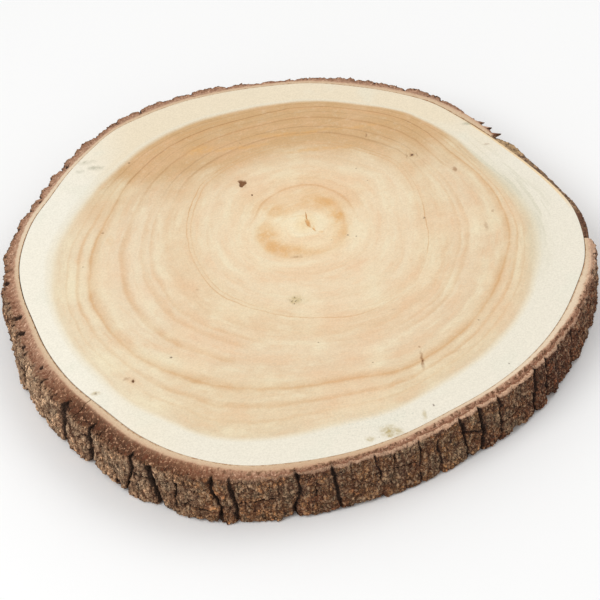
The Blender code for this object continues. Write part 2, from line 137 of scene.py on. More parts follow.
# Furrows between the bark plates: angles at FURROW_HEIGHTS from the top down, half width, depth,
# and the heights between which a furrow runs that doesn't run all the way.
FURROW_HEIGHTS = (33.0, 22.0, 11.0, 0.0)
THROUGH = (-9.0, 42.0)
FRONT_FURROWS = [
    (177.0, 177.2, 177.1, 176.8, 1.8, 3.0), (182.2, 182.0, 182.4, 182.6, 1.5, 2.4),
    (187.0, 187.3, 187.1, 187.2, 1.8, 3.2), (191.5, 191.4, 191.9, 191.7, 1.9, 3.4),
    (197.5, 197.2, 196.9, 197.1, 1.5, 2.4), (201.6, 201.9, 202.3, 202.0, 1.6, 2.8),
    (206.1, 205.8, 205.4, 205.6, 1.4, 2.2), (209.4, 209.6, 210.0, 210.2, 1.3, 2.0),
    (214.8, 214.6, 213.9, 213.6, 2.6, 4.4), (222.9, 222.6, 222.2, 221.8, 1.8, 3.2),
    (225.9, 225.6, 225.9, 225.5, 1.3, 1.8, (6.0, 42.0)), (228.6, 229.0, 229.6, 229.9, 1.5, 2.9),
    (234.5, 234.2, 232.5, 231.6, 1.7, 2.9), (237.4, 238.0, 239.0, 239.3, 2.4, 4.0, (-9.0, 31.0)),
    (243.4, 243.3, 242.9, 242.8, 1.7, 2.8, (2.0, 26.0)), (250.1, 250.5, 251.8, 251.2, 1.8, 3.0),
    (253.6, 253.9, 254.4, 254.4, 1.8, 2.8), (259.2, 258.8, 259.3, 259.5, 1.2, 1.2, (0.0, 20.0)),
    (262.6, 262.4, 262.1, 262.4, 1.3, 2.0, (15.0, 42.0)), (265.6, 266.0, 265.2, 264.7, 1.9, 3.2),
    (269.0, 269.3, 269.0, 268.8, 1.2, 1.4, (4.0, 25.0)), (272.3, 272.6, 273.1, 273.4, 1.7, 2.6),
    (276.0, 275.8, 276.2, 276.0, 1.2, 1.4), (280.4, 281.0, 281.8, 281.4, 1.4, 2.0),
    (284.6, 284.2, 283.6, 283.9, 1.2, 1.6, (4.0, 30.0)), (289.5, 289.7, 289.5, 289.8, 1.4, 1.9),
    (293.5, 293.8, 294.2, 294.1, 1.3, 1.8, (-9.0, 27.0)), (298.7, 299.8, 300.4, 300.8, 1.7, 2.8),
    (303.3, 304.2, 304.4, 303.7, 1.8, 3.0), (308.6, 309.0, 308.6, 308.2, 1.6, 2.6),
    (311.6, 311.3, 311.7, 311.4, 1.2, 1.6, (18.0, 42.0)),
    (314.5, 314.2, 314.4, 314.0, 1.3, 1.5, (-9.0, 30.0)), (318.5, 318.4, 318.2, 318.0, 1.6, 3.2),
    (321.9, 321.7, 322.0, 321.8, 1.6, 2.6), (326.4, 326.1, 326.6, 326.8, 1.5, 1.7),
    (331.8, 332.2, 332.0, 332.6, 1.7, 1.9, (-9.0, 30.0)), (337.0, 337.2, 337.6, 337.4, 1.5, 1.6),
    (342.3, 342.0, 342.5, 342.8, 1.5, 1.9, (-9.0, 30.0)), (347.4, 347.6, 347.2, 347.5, 1.4, 2.2),
    (351.8, 352.0, 351.7, 352.0, 1.3, 2.0),
]
# Plates whose lower end has broken off: angle, half width in degrees, height lost.
CHIPS = [(226.0, 3.4, 1.8), (312.4, 1.6, 2.2), (322.6, 1.4, 3.6), (333.6, 1.2, 2.2)]
# Cracks across a plate: angle and height at each end, half width, depth.
CROSS_CRACKS = [
    (234.6, 18.6, 238.6, 17.2, 0.7, 1.6), (299.6, 21.0, 304.6, 15.0, 0.8, 1.8),
    (206.6, 12.0, 209.6, 13.4, 0.6, 1.2), (243.6, 11.0, 250.0, 8.6, 0.6, 1.3),
    (216.0, 20.5, 221.6, 22.0, 0.6, 1.2), (309.4, 12.0, 314.2, 14.5, 0.6, 1.3),
    (282.0, 19.0, 289.2, 16.6, 0.5, 1.0), (322.4, 17.5, 326.2, 19.0, 0.6, 1.3),
    (255.0, 14.5, 261.5, 16.0, 0.5, 1.0), (333.0, 20.5, 337.0, 17.6, 0.6, 1.2),
    (192.6, 15.0, 197.0, 17.0, 0.7, 1.4), (338.0, 9.0, 342.4, 11.0, 0.6, 1.1),
]
HIDDEN_ARC = (38.0, 174.0)
FURROW_SPACING = (3.2, 7.4)
SEED = 12
NOISE_CELLS = 256
PLATE_STEP = 1.1
FLAKE_DEPTH = 0.35
LOWEST_RISE = 0.25
RAGGED_RISE = 1.1
FOOT_INSET = 0.6
FOOT_ROUND = 1.2
MIN_BODY = 1.2
SAWN_DIP = 0.1
GROOVE_PLACE = 0.45
GROOVE_SHARE = 0.75
# A furrow's wide shoulder, its flank and its core: width in half widths, share of the depth.
FURROW_PROFILE = [(2.3, 0.32), (0.70, 0.38), (0.33, 0.70)]
FOOT_NOTCH = 0.45
# Thin bark has shallow furrows: they are full depth where the bark is this thick.
FULL_FURROW_THICKNESS = 9.0
LEAST_FURROW = 0.4
# The fine relief cuts into the bark, so its mean face is drawn out by this much round the slice.
FACE_LIFT = [
    (2.4, 2.0), (4.0, -0.2), (36, 0.8), (44, 0.9), (50, 2.2), (58, 3.0), (66, 2.5), (74, 2.8),
    (80, 2.2), (86, 1.4), (94, 1.5), (101, 2.4), (108, 2.6), (114, 2.1), (121, 3.4),
    (127, 2.6), (133, 4.4), (138, 2.6),
    (143, 1.3), (150, 2.2), (157, 2.0), (163, 2.2), (168, 2.6), (173, -0.4), (178, 0.9),
    (184, -0.1), (200, 0.8), (212, 1.7), (225, 2.4), (235, 2.8), (240, 2.4), (248, 1.7),
    (262, 1.2), (290, 1.4), (300, 2.0), (310, 1.5), (330, 1.0), (340, 0.6),
    (347, 0.2), (352, 0.0), (356, 0.9), (359, 1.9),
]
# How much further the face stands out near the ground than near the top.
FLARE = [(36, 0.0), (120, 0.0), (160, 0.0), (172, 0.5), (184, 1.2), (192, 2.0), (204, 1.3),
         (212, 0.4), (228, 0.0), (250, 0.0), (300, 0.0), (356, 0.0)]
# How much of a raised lip the outer edge of the torn slope has.
LIP = [(36, 0.0), (180, 0.0), (250, 0.0), (264, 0.5), (276, 1.0), (331, 1.0), (340, 0.4), (356, 0.0)]
# The slope that has a lip: places out from the ledge to the edge, and the share of the drop there.
LIP_PLACES = (0.0, 0.28, 0.62, 0.88, 1.0)
LIP_DROPS = (0.0, 0.85, 0.30, 0.24, 0.7)
# Pits in the torn slope: angle, distance out from the wood, radius.
SHOULDER_PITS = [(176.3, 7.3, 1.5), (186.9, 5.6, 1.7), (191.5, 7.2, 1.8), (195.4, 9.6, 1.5),
                 (203.0, 7.0, 1.2), (152.0, 4.6, 1.3), (140.5, 4.4, 1.2)]
PIT_DEPTH = 1.3
TOOTH_LEAN = 0.9

# Fineness of the bark: steps round the slice and down its section.
ARC = 2.66
FRONT_STEP = 0.5
BACK_STEP = 0.62
INNER_ROWS = 5
LEDGE_ROWS = 8
SLOPE_ROWS = 15
WALL_ROWS = 60
FOOT_ROWS = 4
UNDER_ROWS = 8
# Scales of the bark: width, height, how far they stand apart, how steep, depth of their cracks.
LARGE_SCALES = (4.4, 8.0, 1.0, 0.75, 0.45)
SMALL_SCALES = (1.8, 2.7, 0.7, 0.45, 0.25)
CRUMBS = (1.05, 1.15, 0.5, 0.2, 0.12)
# Fine upright grooves: how wide a lump of them is, how tall, and their depth.
GROOVES = [(3.1, 9.0, 0.6), (1.7, 5.0, 0.4)]

DISC_CELLS = 188
RIM_ROUND = 0.22
# Insect holes: x, y, radius, depth, stretch along y.
HOLES = [
    (-23.9, 66.7, 2.1, 1.5, 1.15), (-25.3, 68.3, 1.35, 1.1, 1.0), (-24.7, 64.7, 1.5, 1.3, 1.0),
    (-19.5, 55.8, 0.55, 2.4, 1.4), (-89.0, -78.0, 0.6, 1.2, 1.9), (58.0, -87.0, 0.3, 0.8, 2.0),
]
# The check in the pith: middle, length, width, depth, turn.
PITH_CHECKS = [(8.9, 27.2, 8.5, 2.4, 0.7, 18.0), (8.5, 33.4, 8.0, 0.8, 0.6, 2.0),
               (11.4, 22.4, 6.0, 0.8, 0.5, 30.0)]


def curve_through(pairs, closed=False):
    """A smooth curve through (angle, value) pairs, as a function of an array of angles."""
    angles = np.array([p[0] for p in pairs], float)
    values = np.array([p[1] for p in pairs], float)
    if closed:
        angles = np.concatenate([angles[-3:] - 360.0, angles, angles[:3] + 360.0])
        values = np.concatenate([values[-3:], values, values[:3]])
    slopes = np.gradient(values, angles)

    def at(angle):
        angle = np.asarray(angle, float)
        if closed:
            angle = np.mod(angle, 360.0)
        angle = np.clip(angle, angles[0], angles[-1])
        i = np.clip(np.searchsorted(angles, angle, side="right") - 1, 0, len(angles) - 2)
        step = angles[i + 1] - angles[i]
        t = (angle - angles[i]) / step
        return (values[i] * (1 + 2 * t) * (1 - t) ** 2 + slopes[i] * step * t * (1 - t) ** 2
                + values[i + 1] * t * t * (3 - 2 * t) + slopes[i + 1] * step * t * t * (t - 1))
    return at


def edge_as_radii(points, middle=(0.0, 0.0)):
    """The outline's points as (angle, radius) about a middle, in order of angle."""
    return sorted((math.degrees(math.atan2(y - middle[1], x - middle[0])) % 360.0,
                   math.hypot(x - middle[0], y - middle[1])) for x, y in points)


wood_radius = curve_through(edge_as_radii(WOOD_EDGE), closed=True)
ledge_width = curve_through(LEDGE_WIDTH, closed=True)
shoulder_drop = curve_through(SHOULDER_DROP, closed=True)
open_crack = curve_through(CRACK_WIDTH, closed=True)
face_lift = curve_through(FACE_LIFT, closed=True)
lip_share = curve_through(LIP, closed=True)
flare = curve_through(FLARE, closed=True)


def crack_width(angle):
    return np.maximum(open_crack(angle), 0.0) + HELD_GAP


def smooth_step(x):
    x = np.clip(x, 0.0, 1.0)
    return x * x * (3.0 - 2.0 * x)


def all_furrows():
    """The furrows of the front, and seeded ones of the same kind for the hidden arc."""
    draw = np.random.RandomState(SEED)
    furrows = [f if len(f) == 7 else (*f, THROUGH) for f in FRONT_FURROWS]
    angle = HIDDEN_ARC[0] + 1.5
    while angle < HIDDEN_ARC[1]:
        path = [angle + draw.uniform(-0.8, 0.8) for _ in FURROW_HEIGHTS]
        deep = draw.uniform(1.3, 3.4)
        stops = (draw.uniform(4.0, 12.0), 42.0) if draw.uniform() < 0.2 else THROUGH
        furrows.append((*path, 1.1 + 0.24 * deep, deep, stops))
        angle += draw.uniform(*FURROW_SPACING)
    return sorted(furrows, key=lambda f: sum(f[:4]))


FURROWS = all_furrows()
PLATE_RISE = np.random.RandomState(SEED + 1).uniform(-PLATE_STEP, 0.15, len(FURROWS) + 1)
PLATE_FOOT = np.random.RandomState(SEED + 2).uniform(0.0, RAGGED_RISE, len(FURROWS) + 1)
FLAKES = np.random.RandomState(SEED + 3).uniform(-1.0, 1.0, (181, 9))


def furrow_angle(furrow, height):
    return np.interp(-np.asarray(height, float), [-h for h in FURROW_HEIGHTS], furrow[:4])


def plate_number(angle, height):
    """Which plate, counted round from the first furrow, a point of the bark lies on."""
    return sum((furrow_angle(f, height) < angle).astype(int) for f in FURROWS)


def read_grid(grid, u, v):
    """The grid's numbers at places between its points, running on smoothly from one to the next."""
    wide, tall = grid.shape
    i, j = np.floor(u).astype(int), np.floor(v).astype(int)
    s, t = smooth_step(u - i), smooth_step(v - j)
    low = grid[i % wide, j % tall] * (1 - s) + grid[(i + 1) % wide, j % tall] * s
    high = grid[i % wide, (j + 1) % tall] * (1 - s) + grid[(i + 1) % wide, (j + 1) % tall] * s
    return low * (1 - t) + high * t


def flakes(angle, height):
    """Broad scales and hollows of the plates, between -1 and 1."""
    return read_grid(FLAKES, np.mod(angle, 360.0) / 2.0, np.clip(height / 5.0 + 0.5, 0.0, 7.99))


def soft_noise(u, v, seed):
    """Smooth noise between -1 and 1 with a lump about every unit."""
    grid = np.random.RandomState(SEED + seed).uniform(-1.0, 1.0, (NOISE_CELLS, NOISE_CELLS))
    return read_grid(grid, u, v)


def lumps(angle, height, wide, tall, seed):
    """Smooth noise over the bark, with lumps this wide and tall."""
    return soft_noise(angle * ARC / wide, height / tall, seed)


def furrow_depth(angle, height):
    """How deep the furrows cut in, in millimetres."""
    wander = 0.8 * lumps(angle, height, 5.0, 5.0, 41) + 0.5 * lumps(angle, height, 2.0, 2.4, 42)
    uneven = 0.85 + 0.35 * lumps(angle, height, 7.0, 6.0, 43)
    depth = np.zeros_like(angle)
    for furrow in FURROWS:
        half_width, deep, (low, high) = furrow[4:]
        away = np.radians(angle - furrow_angle(furrow, height)) * wood_radius(angle)
        away = np.abs(away + wander)
        runs = smooth_step((height - low) / 3.0) * smooth_step((high - height) / 3.0)
        profile = sum(share * np.exp(-(away / (width * half_width)) ** 2)
                      for width, share in FURROW_PROFILE)
        depth = np.maximum(depth, deep * runs * uneven * profile)
    return depth


def foot_height(angle):
    """How far the lower edge of the bark is above the ground: every plate ends a little apart."""
    rise = LOWEST_RISE + PLATE_FOOT[plate_number(angle, np.zeros_like(angle))]
    for centre, half_width, lost in CHIPS:
        rise = rise + lost * np.exp(-((angle - centre) / half_width) ** 4)
    return rise + FOOT_NOTCH * np.clip(furrow_depth(angle, np.zeros_like(angle)) - 0.4, 0.0, 3.5)


def torn_teeth(angle):
    """Splinters of the torn end, as lengths added to the bark's upper edge."""
    out = np.zeros_like(angle)
    for centre, length, half_width in TORN_TEETH:
        out = out + length * np.clip(1 - np.abs(angle - centre) / half_width, 0, 1)
    return out


def scale_pattern(u, v, seed):
    """Cells one unit wide with a point drawn in each: how near the border, the cell's number
    between 0 and 1, and how far up the cell."""
    draw = np.random.RandomState(SEED + seed)
    place = draw.uniform(0.08, 0.92, (NOISE_CELLS, NOISE_CELLS, 2))
    number = draw.uniform(0.0, 1.0, (NOISE_CELLS, NOISE_CELLS))
    i, j = np.floor(u).astype(int), np.floor(v).astype(int)
    nearest = np.full(u.shape, 9.0)
    second = np.full(u.shape, 9.0)
    which = np.zeros(u.shape)
    up = np.zeros(u.shape)
    for across in (-1, 0, 1):
        for above in (-1, 0, 1):
            a, b = (i + across) % NOISE_CELLS, (j + above) % NOISE_CELLS
            dx = u - (i + across + place[a, b, 0])
            dy = v - (j + above + place[a, b, 1])
            away = np.hypot(dx, dy)
            closer = away < nearest
            second = np.where(closer, nearest, np.minimum(second, away))
            which = np.where(closer, number[a, b], which)
            up = np.where(closer, dy, up)
            nearest = np.where(closer, away, nearest)
    return second - nearest, which, up


def scales(angle, height, size, seed):
    """One layer of bark scales: their relief, the closeness of a crack and a number for each."""
    width, tall, step, tilt, crack = size
    u, v = angle * ARC, height
    u = u + 0.32 * width * soft_noise(u / (1.3 * width), v / tall, seed)
    v = v + 0.30 * tall * soft_noise(u / (0.9 * width), v / tall, seed + 1)
    border, number, up = scale_pattern(u / width, v / tall, seed + 2)
    near = np.exp(-(border / 0.13) ** 2)
    return step * (number - 0.5) - tilt * up - crack * near, near, number


def cross_cracks(angle, height):
    depth = np.zeros_like(angle)
    u = angle * ARC + 0.7 * lumps(angle, height, 2.0, 2.0, 51)
    v = height + 0.6 * lumps(angle, height, 1.7, 1.7, 52)
    for a0, z0, a1, z1, half_width, deep in CROSS_CRACKS:
        along = np.array([(a1 - a0) * ARC, z1 - z0])
        length = math.hypot(*along)
        along = along / length
        x, y = u - a0 * ARC, v - z0
        t = np.clip(x * along[0] + y * along[1], 0.0, length)
        away = np.hypot(x - t * along[0], y - t * along[1])
        depth = depth + deep * np.exp(-(away / half_width) ** 2)
    return depth


def upright_grooves(angle, height):
    """Depth of the fine grooves that wander up and down the plates."""
    depth = np.zeros_like(angle)
    for number, (wide, tall, deep) in enumerate(GROOVES):
        u = angle * ARC + 0.8 * lumps(angle, height, 3.0, 4.0, 55 + number)
        wave = soft_noise(u / wide, height / tall, 57 + number)
        depth = np.maximum(depth, deep * np.exp(-(wave / 0.16) ** 2))
    return depth


def bark_face(angle, height):
    """The bark's relief, how hollow each place is, and the number of its scale."""
    angle, height = np.broadcast_arrays(np.asarray(angle, float), np.asarray(height, float))
    furrow = furrow_depth(angle, height)
    groove = upright_grooves(angle, height)
    crack = cross_cracks(angle, height)
    large, large_edge, large_number = scales(angle, height, LARGE_SCALES, 60)
    small, small_edge, small_number = scales(angle, height, SMALL_SCALES, 70)
    crumbs, crumb_edge, crumb_number = scales(angle, height, CRUMBS, 84)
    fibre = 0.14 * lumps(angle, height, 0.85, 6.0, 80)
    plates = PLATE_RISE[plate_number(angle, height)] + FLAKE_DEPTH * flakes(angle, height)
    crown = 1.0 - np.clip(furrow / 2.2, 0.0, 1.0)
    relief = (plates - furrow - crack + (0.4 + 0.6 * crown) * (large + small - groove)
              + crumbs + fibre)
    hollow = (np.clip((furrow - 0.7) / 2.0, 0, 1) + 0.35 * large_edge + 0.3 * small_edge + 0.5 * crack
              + 0.5 * groove + 0.2 * crumb_edge)
    number = 0.45 * large_number + 0.3 * small_number + 0.25 * crumb_number
    return relief, np.clip(hollow, 0.0, 1.0), number


def pits(angle, out):
    """How deep in one of the pits of the torn slope a place is, between 0 and 1."""
    deep = np.zeros_like(angle)
    for centre, away, radius in SHOULDER_PITS:
        near = np.hypot((angle - centre) * ARC, out - away) / radius
        deep = np.maximum(deep, np.exp(-near ** 2))
    return deep


def shares(count):
    """This many even shares, the last of them 1."""
    return np.linspace(0.0, 1.0, count + 1)[1:]


def section_rows(angle, thickness, ledge, drop, gap, teeth, lift, lip, share):
    """Each section of a stretch of bark as rows of (out, height), with the marks of each point."""
    foot = foot_height(angle)
    top = THICKNESS - SAWN_DIP
    shallow = np.clip(thickness(angle) / FULL_FURROW_THICKNESS, LEAST_FURROW, 1.0)
    raised = lip(angle)
    rows = []

    def face(height):
        relief, hollow, number = bark_face(angle, height)
        relief = lift(angle) + share * np.where(relief < 0.0, shallow * relief, relief)
        relief = relief + share * flare(angle) * smooth_step((THICKNESS - 4.0 - height) / 16.0)
        return np.maximum(thickness(angle) + relief, gap(angle) + MIN_BODY), hollow, number

    def add_row(out, height, section, hollow=0.0, number=0.5, on_lip=0.0):
        values = (out, height, section, hollow, number, on_lip)
        rows.append(np.stack([np.broadcast_to(value, angle.shape) for value in values]))

    crown, crown_hollow, crown_number = face(THICKNESS - 0.5 * drop(angle))
    crown = crown + teeth(angle)
    shelf = np.minimum(gap(angle) + ledge(angle), crown - 0.5)
    for t in np.linspace(0.0, 1.0, INNER_ROWS):
        add_row(gap(angle), foot + (top - foot) * t, t)
    for t in shares(LEDGE_ROWS):
        out = gap(angle) + (shelf - gap(angle)) * t
        add_row(out, top - 0.06 * t + 0.03 * lumps(angle, out, 1.5, 1.0, 90), 1.0 + t)
    groove = GROOVE_SHARE * drop(angle)
    for t in shares(SLOPE_ROWS):
        out = shelf + (crown - shelf) * t
        down = np.interp(t, [0.0, GROOVE_PLACE, 0.8, 1.0], [0.0, 1.0, 0.92, 1.0]) * groove
        down = down + (drop(angle) - groove) * smooth_step((t - 0.8) / 0.2)
        with_lip = np.interp(t, LIP_PLACES, LIP_DROPS) * drop(angle)
        down = down + (with_lip - down) * raised
        on_lip = raised * smooth_step((t - 0.40) / 0.3)
        pit = pits(angle, out) * min(1.0, 4.0 * (1.0 - t))
        bits, edge, number = scales(angle, 1.6 * out, CRUMBS, 96)
        crumbs = (0.34 * lumps(angle, out, 2.6, 1.3, 91) + 0.75 * bits
                  + 0.3 * lumps(angle, out, 0.9, 0.8, 92)) * min(1.0, 5.0 * t)
        crumbs = crumbs * (1.0 - 0.65 * on_lip)
        hollow = (crown_hollow * t ** 3 + 0.5 * smooth_step((-0.1 - crumbs) / 0.4) + 0.2 * edge
                  + 1.1 * pit)
        add_row(out, top - 0.06 - down - PIT_DEPTH * pit + crumbs, 2.0 + t, np.clip(hollow, 0, 1),
                number, on_lip)
    upper = THICKNESS - drop(angle) - 0.3
    lower = foot + FOOT_ROUND
    for t in shares(WALL_ROWS):
        height = upper + (lower - upper) * t
        out, hollow, number = face(height)
        out = out + teeth(angle) * (1.0 - smooth_step(t / 0.12))
        add_row(out, height, 3.0 + t, hollow, number, raised * (1.0 - smooth_step(t / 0.04)))
    out, hollow, number = face(np.zeros_like(angle))
    for t in shares(FOOT_ROWS):
        turn = 0.5 * math.pi * t
        add_row(out - FOOT_INSET * (1 - math.cos(turn)), lower - (lower - foot) * math.sin(turn),
                4.0 + t, hollow, number)
    for t in shares(UNDER_ROWS):
        inward = out - FOOT_INSET + (gap(angle) - out + FOOT_INSET) * t
        add_row(inward, foot + 0.1 * (t < 1.0) * (1 + lumps(angle, inward, 1.0, 1.0, 94)),
                5.0 + t, 0.6 * hollow * (1 - t), number)
    return np.stack(rows)


# How small each section is beyond an end, and the step between them in degrees.
END_SHRINK = (0.985, 0.93, 0.78, 0.5, 0.2, 0.0)
END_STEP = 0.03
MIDDLE_ROW = INNER_ROWS + LEDGE_ROWS + SLOPE_ROWS + 20


def rough_ends(angles, rows):
    """Closes both ends of a stretch: more sections, each smaller, that end in a point."""
    halfway = THICKNESS / 2.0

    def closing(column, side):
        centre = 0.5 * (rows[0, 0, column] + rows[MIDDLE_ROW, 0, column])
        turns, sections = [], []
        for number, share in enumerate(END_SHRINK):
            section = rows[:, :, column].copy()
            section[:, 0] = centre + (section[:, 0] - centre) * share
            section[:, 1] = halfway + (section[:, 1] - halfway) * share
            section[:, 3] = 0.25
            ragged = 0.10 * soft_noise(section[:, 1] / 2.5 + number, section[:, 0], 95)
            ragged = ragged * (0.0 < share < 0.95)
            turns.append(angles[column] + side * (END_STEP * (number + 1) + ragged))
            sections.append(section)
        return turns, sections

    turns_before, before = closing(0, -1.0)
    turns_after, after = closing(-1, 1.0)
    all_angles = np.concatenate([np.stack(turns_before[::-1], 1), np.repeat(angles[None], len(rows), 0),
                                 np.stack(turns_after, 1)], 1)
    all_rows = np.concatenate([np.stack(before[::-1], 2), rows, np.stack(after, 2)], 2)
    return all_angles, all_rows


def tooth_lean(angles, section, teeth):
    """How far the splinters of a torn end lean along the bark, in degrees."""
    at_edge = smooth_step(section - 2.0) * (1.0 - smooth_step((section - 3.0) / 0.12))
    return TOOTH_LEAN * teeth(angles) * at_edge / ARC


def add_primitive(adder, name, **sizes):
    """Adds a primitive on its own, with nothing else selected."""
    bpy.ops.object.select_all(action="DESELECT")
    adder(**sizes)
    piece = bpy.context.object
    piece.name = name
    piece.data.name = name
    return piece


def select_only(piece):
    bpy.ops.object.select_all(action="DESELECT")
    piece.select_set(True)
    bpy.context.view_layer.objects.active = piece


def in_edit_mode(piece, *steps):
    """Does these steps in edit mode, with the whole piece selected at the first."""
    select_only(piece)
    bpy.ops.object.mode_set(mode="EDIT")
    bpy.ops.mesh.select_all(action="SELECT")
    for step in steps:
        step()
    bpy.ops.object.mode_set(mode="OBJECT")


def read(items, name, width=1, kind=float):
    """One value of every point, corner or face of a mesh, as an array."""
    flat = np.empty(width * len(items), kind)
    items.foreach_get(name, flat)
    return flat.reshape(-1, width) if width > 1 else flat


def places_of(mesh):
    return read(mesh.vertices, "co", 3)


def set_places(mesh, places):
    mesh.vertices.foreach_set("co", np.ascontiguousarray(places, float).ravel())
    mesh.update()


def set_mark(mesh, name, values):
    """Keeps a number for each point, which the material reads by its name."""
    mark = mesh.attributes.new(name, "FLOAT", "POINT")
    mark.data.foreach_set("value", np.ascontiguousarray(values, np.float32))


def bark_piece(name, start, end, thickness, step, ledge=ledge_width, drop=shoulder_drop,
               gap=crack_width, teeth=np.zeros_like, lift=face_lift, lip=lip_share, share=1.0):
    """A stretch of bark: a flat sheet of small faces wrapped round the closed sections."""
    columns = max(2, round((end - start) * ARC / step))
    angles = np.linspace(start, end, columns + 1)
    angles, rows = rough_ends(angles, section_rows(angles, thickness, ledge, drop, gap, teeth, lift,
                                                   lip, share))
    rows = np.concatenate([rows, rows[:1]])
    angles = np.concatenate([angles, angles[:1]])
    angles = angles - tooth_lean(angles, rows[:, 2], teeth)
    across, along = rows.shape[0] - 1, rows.shape[2] - 1
    piece = add_primitive(bpy.ops.mesh.primitive_grid_add, name, x_subdivisions=along,
                          y_subdivisions=across, size=2.0)
    mesh = piece.data
    flat = places_of(mesh)
    column = np.rint((flat[:, 0] + 1.0) / 2.0 * along).astype(int)
    row = np.rint((flat[:, 1] + 1.0) / 2.0 * across).astype(int)
    lay_out_sheet(mesh, column, row, along, across)
    turn = np.radians(angles[row, column])
    radius = (wood_radius(angles[row, column]) + rows[row, 0, column]) * MM
    set_places(mesh, np.stack([radius * np.cos(turn), radius * np.sin(turn),
                               rows[row, 1, column] * MM], -1))
    for number, mark in enumerate(MARKS, 2):
        set_mark(mesh, mark, rows[row, number, column])
    set_mark(mesh, "round", np.mod(angles[row, column], 360.0))
    in_edit_mode(piece, lambda: bpy.ops.mesh.remove_doubles(threshold=2e-6),
                 lambda: bpy.ops.mesh.normals_make_consistent(inside=False))
    bpy.ops.object.shade_smooth_by_angle(angle=math.radians(50.0))
    return piece


# Marks kept for each point of the bark: where in the section it lies, how hollow it is (its darkening
# in the materials is partly painted shade), the number of its scale, and how much it is on the raised
# lip.
MARKS = ("section", "hollow", "scale", "lip")
UV_STRIPS = 2
UV_MARGIN = 0.004


def keep_map(mesh, places):
    layer = mesh.uv_layers.active or mesh.uv_layers.new()
    layer.name = "OFBake"
    layer.data.foreach_set("uv", places.ravel())


def lay_out_sheet(mesh, column, row, along, across):
    """The piece's own map: the sheet before it is wrapped, cut in strips laid one above another."""
    corners = read(mesh.loops, "vertex_index", kind=int).reshape(-1, 4)
    first = column[corners].min(1, keepdims=True)
    length = math.ceil(along / UV_STRIPS)
    strip = first // length
    u = (column[corners] - strip * length) / length
    v = (strip + row[corners] / across) / UV_STRIPS
    keep_map(mesh, UV_MARGIN + (1 - 2 * UV_MARGIN) * np.stack([u, v], -1))


def growth_at(x, y):
    """How far out in the growth of the trunk a place of the wood lies, in millimetres of growth."""
    away = np.hypot(x - PITH[0], y - PITH[1])
    angle = np.degrees(np.arctan2(y - PITH[1], x - PITH[0]))
    steps = [(AMBER_GROWTH, AMBER_EDGE), (THIN_GROWTH, THIN_RING), (STRONG_GROWTH, STRONG_RING),
             (HEARTWOOD_GROWTH, HEARTWOOD_EDGE), (BARK_GROWTH, WOOD_EDGE)]
    growth = np.zeros_like(away)
    inner_radius, inner_growth = np.zeros_like(away), 0.0
    for outer_growth, ring in steps:
        outer_radius = curve_through(edge_as_radii(ring, PITH), closed=True)(angle)
        share = np.clip((away - inner_radius) / (outer_radius - inner_radius), 0.0, 1.0)
        growth = growth + (outer_growth - inner_growth) * share
        inner_radius, inner_growth = outer_radius, outer_growth
    return growth


def wood_piece(name):
    """The disc of wood: a square sheet of small faces rounded to the trunk, pulled up and cut."""
    piece = add_primitive(bpy.ops.mesh.primitive_grid_add, name, x_subdivisions=DISC_CELLS,
                          y_subdivisions=DISC_CELLS, size=2.0)
    mesh = piece.data
    flat = places_of(mesh)
    u, v = flat[:, 0], flat[:, 1]
    reach = np.maximum(np.abs(u), np.abs(v))
    wide = np.abs(u) >= np.abs(v)
    with np.errstate(divide="ignore", invalid="ignore"):
        turn = np.where(wide, 45.0 * np.nan_to_num(v / u) + np.where(u < 0, 180.0, 0.0),
                        90.0 - 45.0 * np.nan_to_num(u / v) + np.where(v < 0, 180.0, 0.0))
    radius = reach * wood_radius(turn) * MM
    set_places(mesh, np.stack([radius * np.cos(np.radians(turn)), radius * np.sin(np.radians(turn)),
                               np.zeros_like(u)], -1))
    up = (0.0, 0.0, THICKNESS * MM)
    in_edit_mode(
        piece, lambda: bpy.ops.mesh.extrude_region_move(TRANSFORM_OT_translate={"value": up}),
        lambda: bpy.ops.mesh.select_all(action="SELECT"),
        lambda: bpy.ops.mesh.normals_make_consistent(inside=False))
    bevel = piece.modifiers.new("sawn_edge", "BEVEL")
    bevel.limit_method = "ANGLE"
    bevel.angle_limit = math.radians(60.0)
    bevel.width = RIM_ROUND * MM
    bevel.segments = 2
    bpy.ops.object.modifier_apply(modifier=bevel.name)
    for hole in HOLES:
        cut_from(piece, hole_cutter(*hole))
    for check in PITH_CHECKS:
        cut_from(piece, check_cutter(*check))
    mesh = piece.data
    places = places_of(mesh)
    set_mark(mesh, "growth", growth_at(places[:, 0] / MM, places[:, 1] / MM))
    lay_out_disc(mesh)
    select_only(piece)
    bpy.ops.object.shade_smooth_by_angle(angle=math.radians(30.0))
    return piece


def ball(x, y, radius, turn=0.0, **sides):
    """A ball at a place on the sawn face, and its points, to be drawn out into a cutter."""
    cutter = add_primitive(bpy.ops.mesh.primitive_uv_sphere_add, "cutter", radius=radius * MM,
                           location=(x * MM, y * MM, THICKNESS * MM),
                           rotation=(0.0, 0.0, math.radians(turn)), **sides)
    return cutter, places_of(cutter.data)


def hole_cutter(x, y, radius, depth, stretch):
    """A ball drawn out downwards, its wall uneven as an insect leaves it."""
    cutter, places = ball(x, y, radius, segments=20, ring_count=16)
    turn = np.arctan2(places[:, 1], places[:, 0])
    uneven = 1.0 + 0.12 * np.sin(3 * turn + x) + 0.08 * np.sin(5 * turn + y)
    places[:, 0] *= uneven
    places[:, 1] *= uneven * stretch
    places[:, 2] *= depth / radius
    set_places(cutter.data, places)
    return cutter


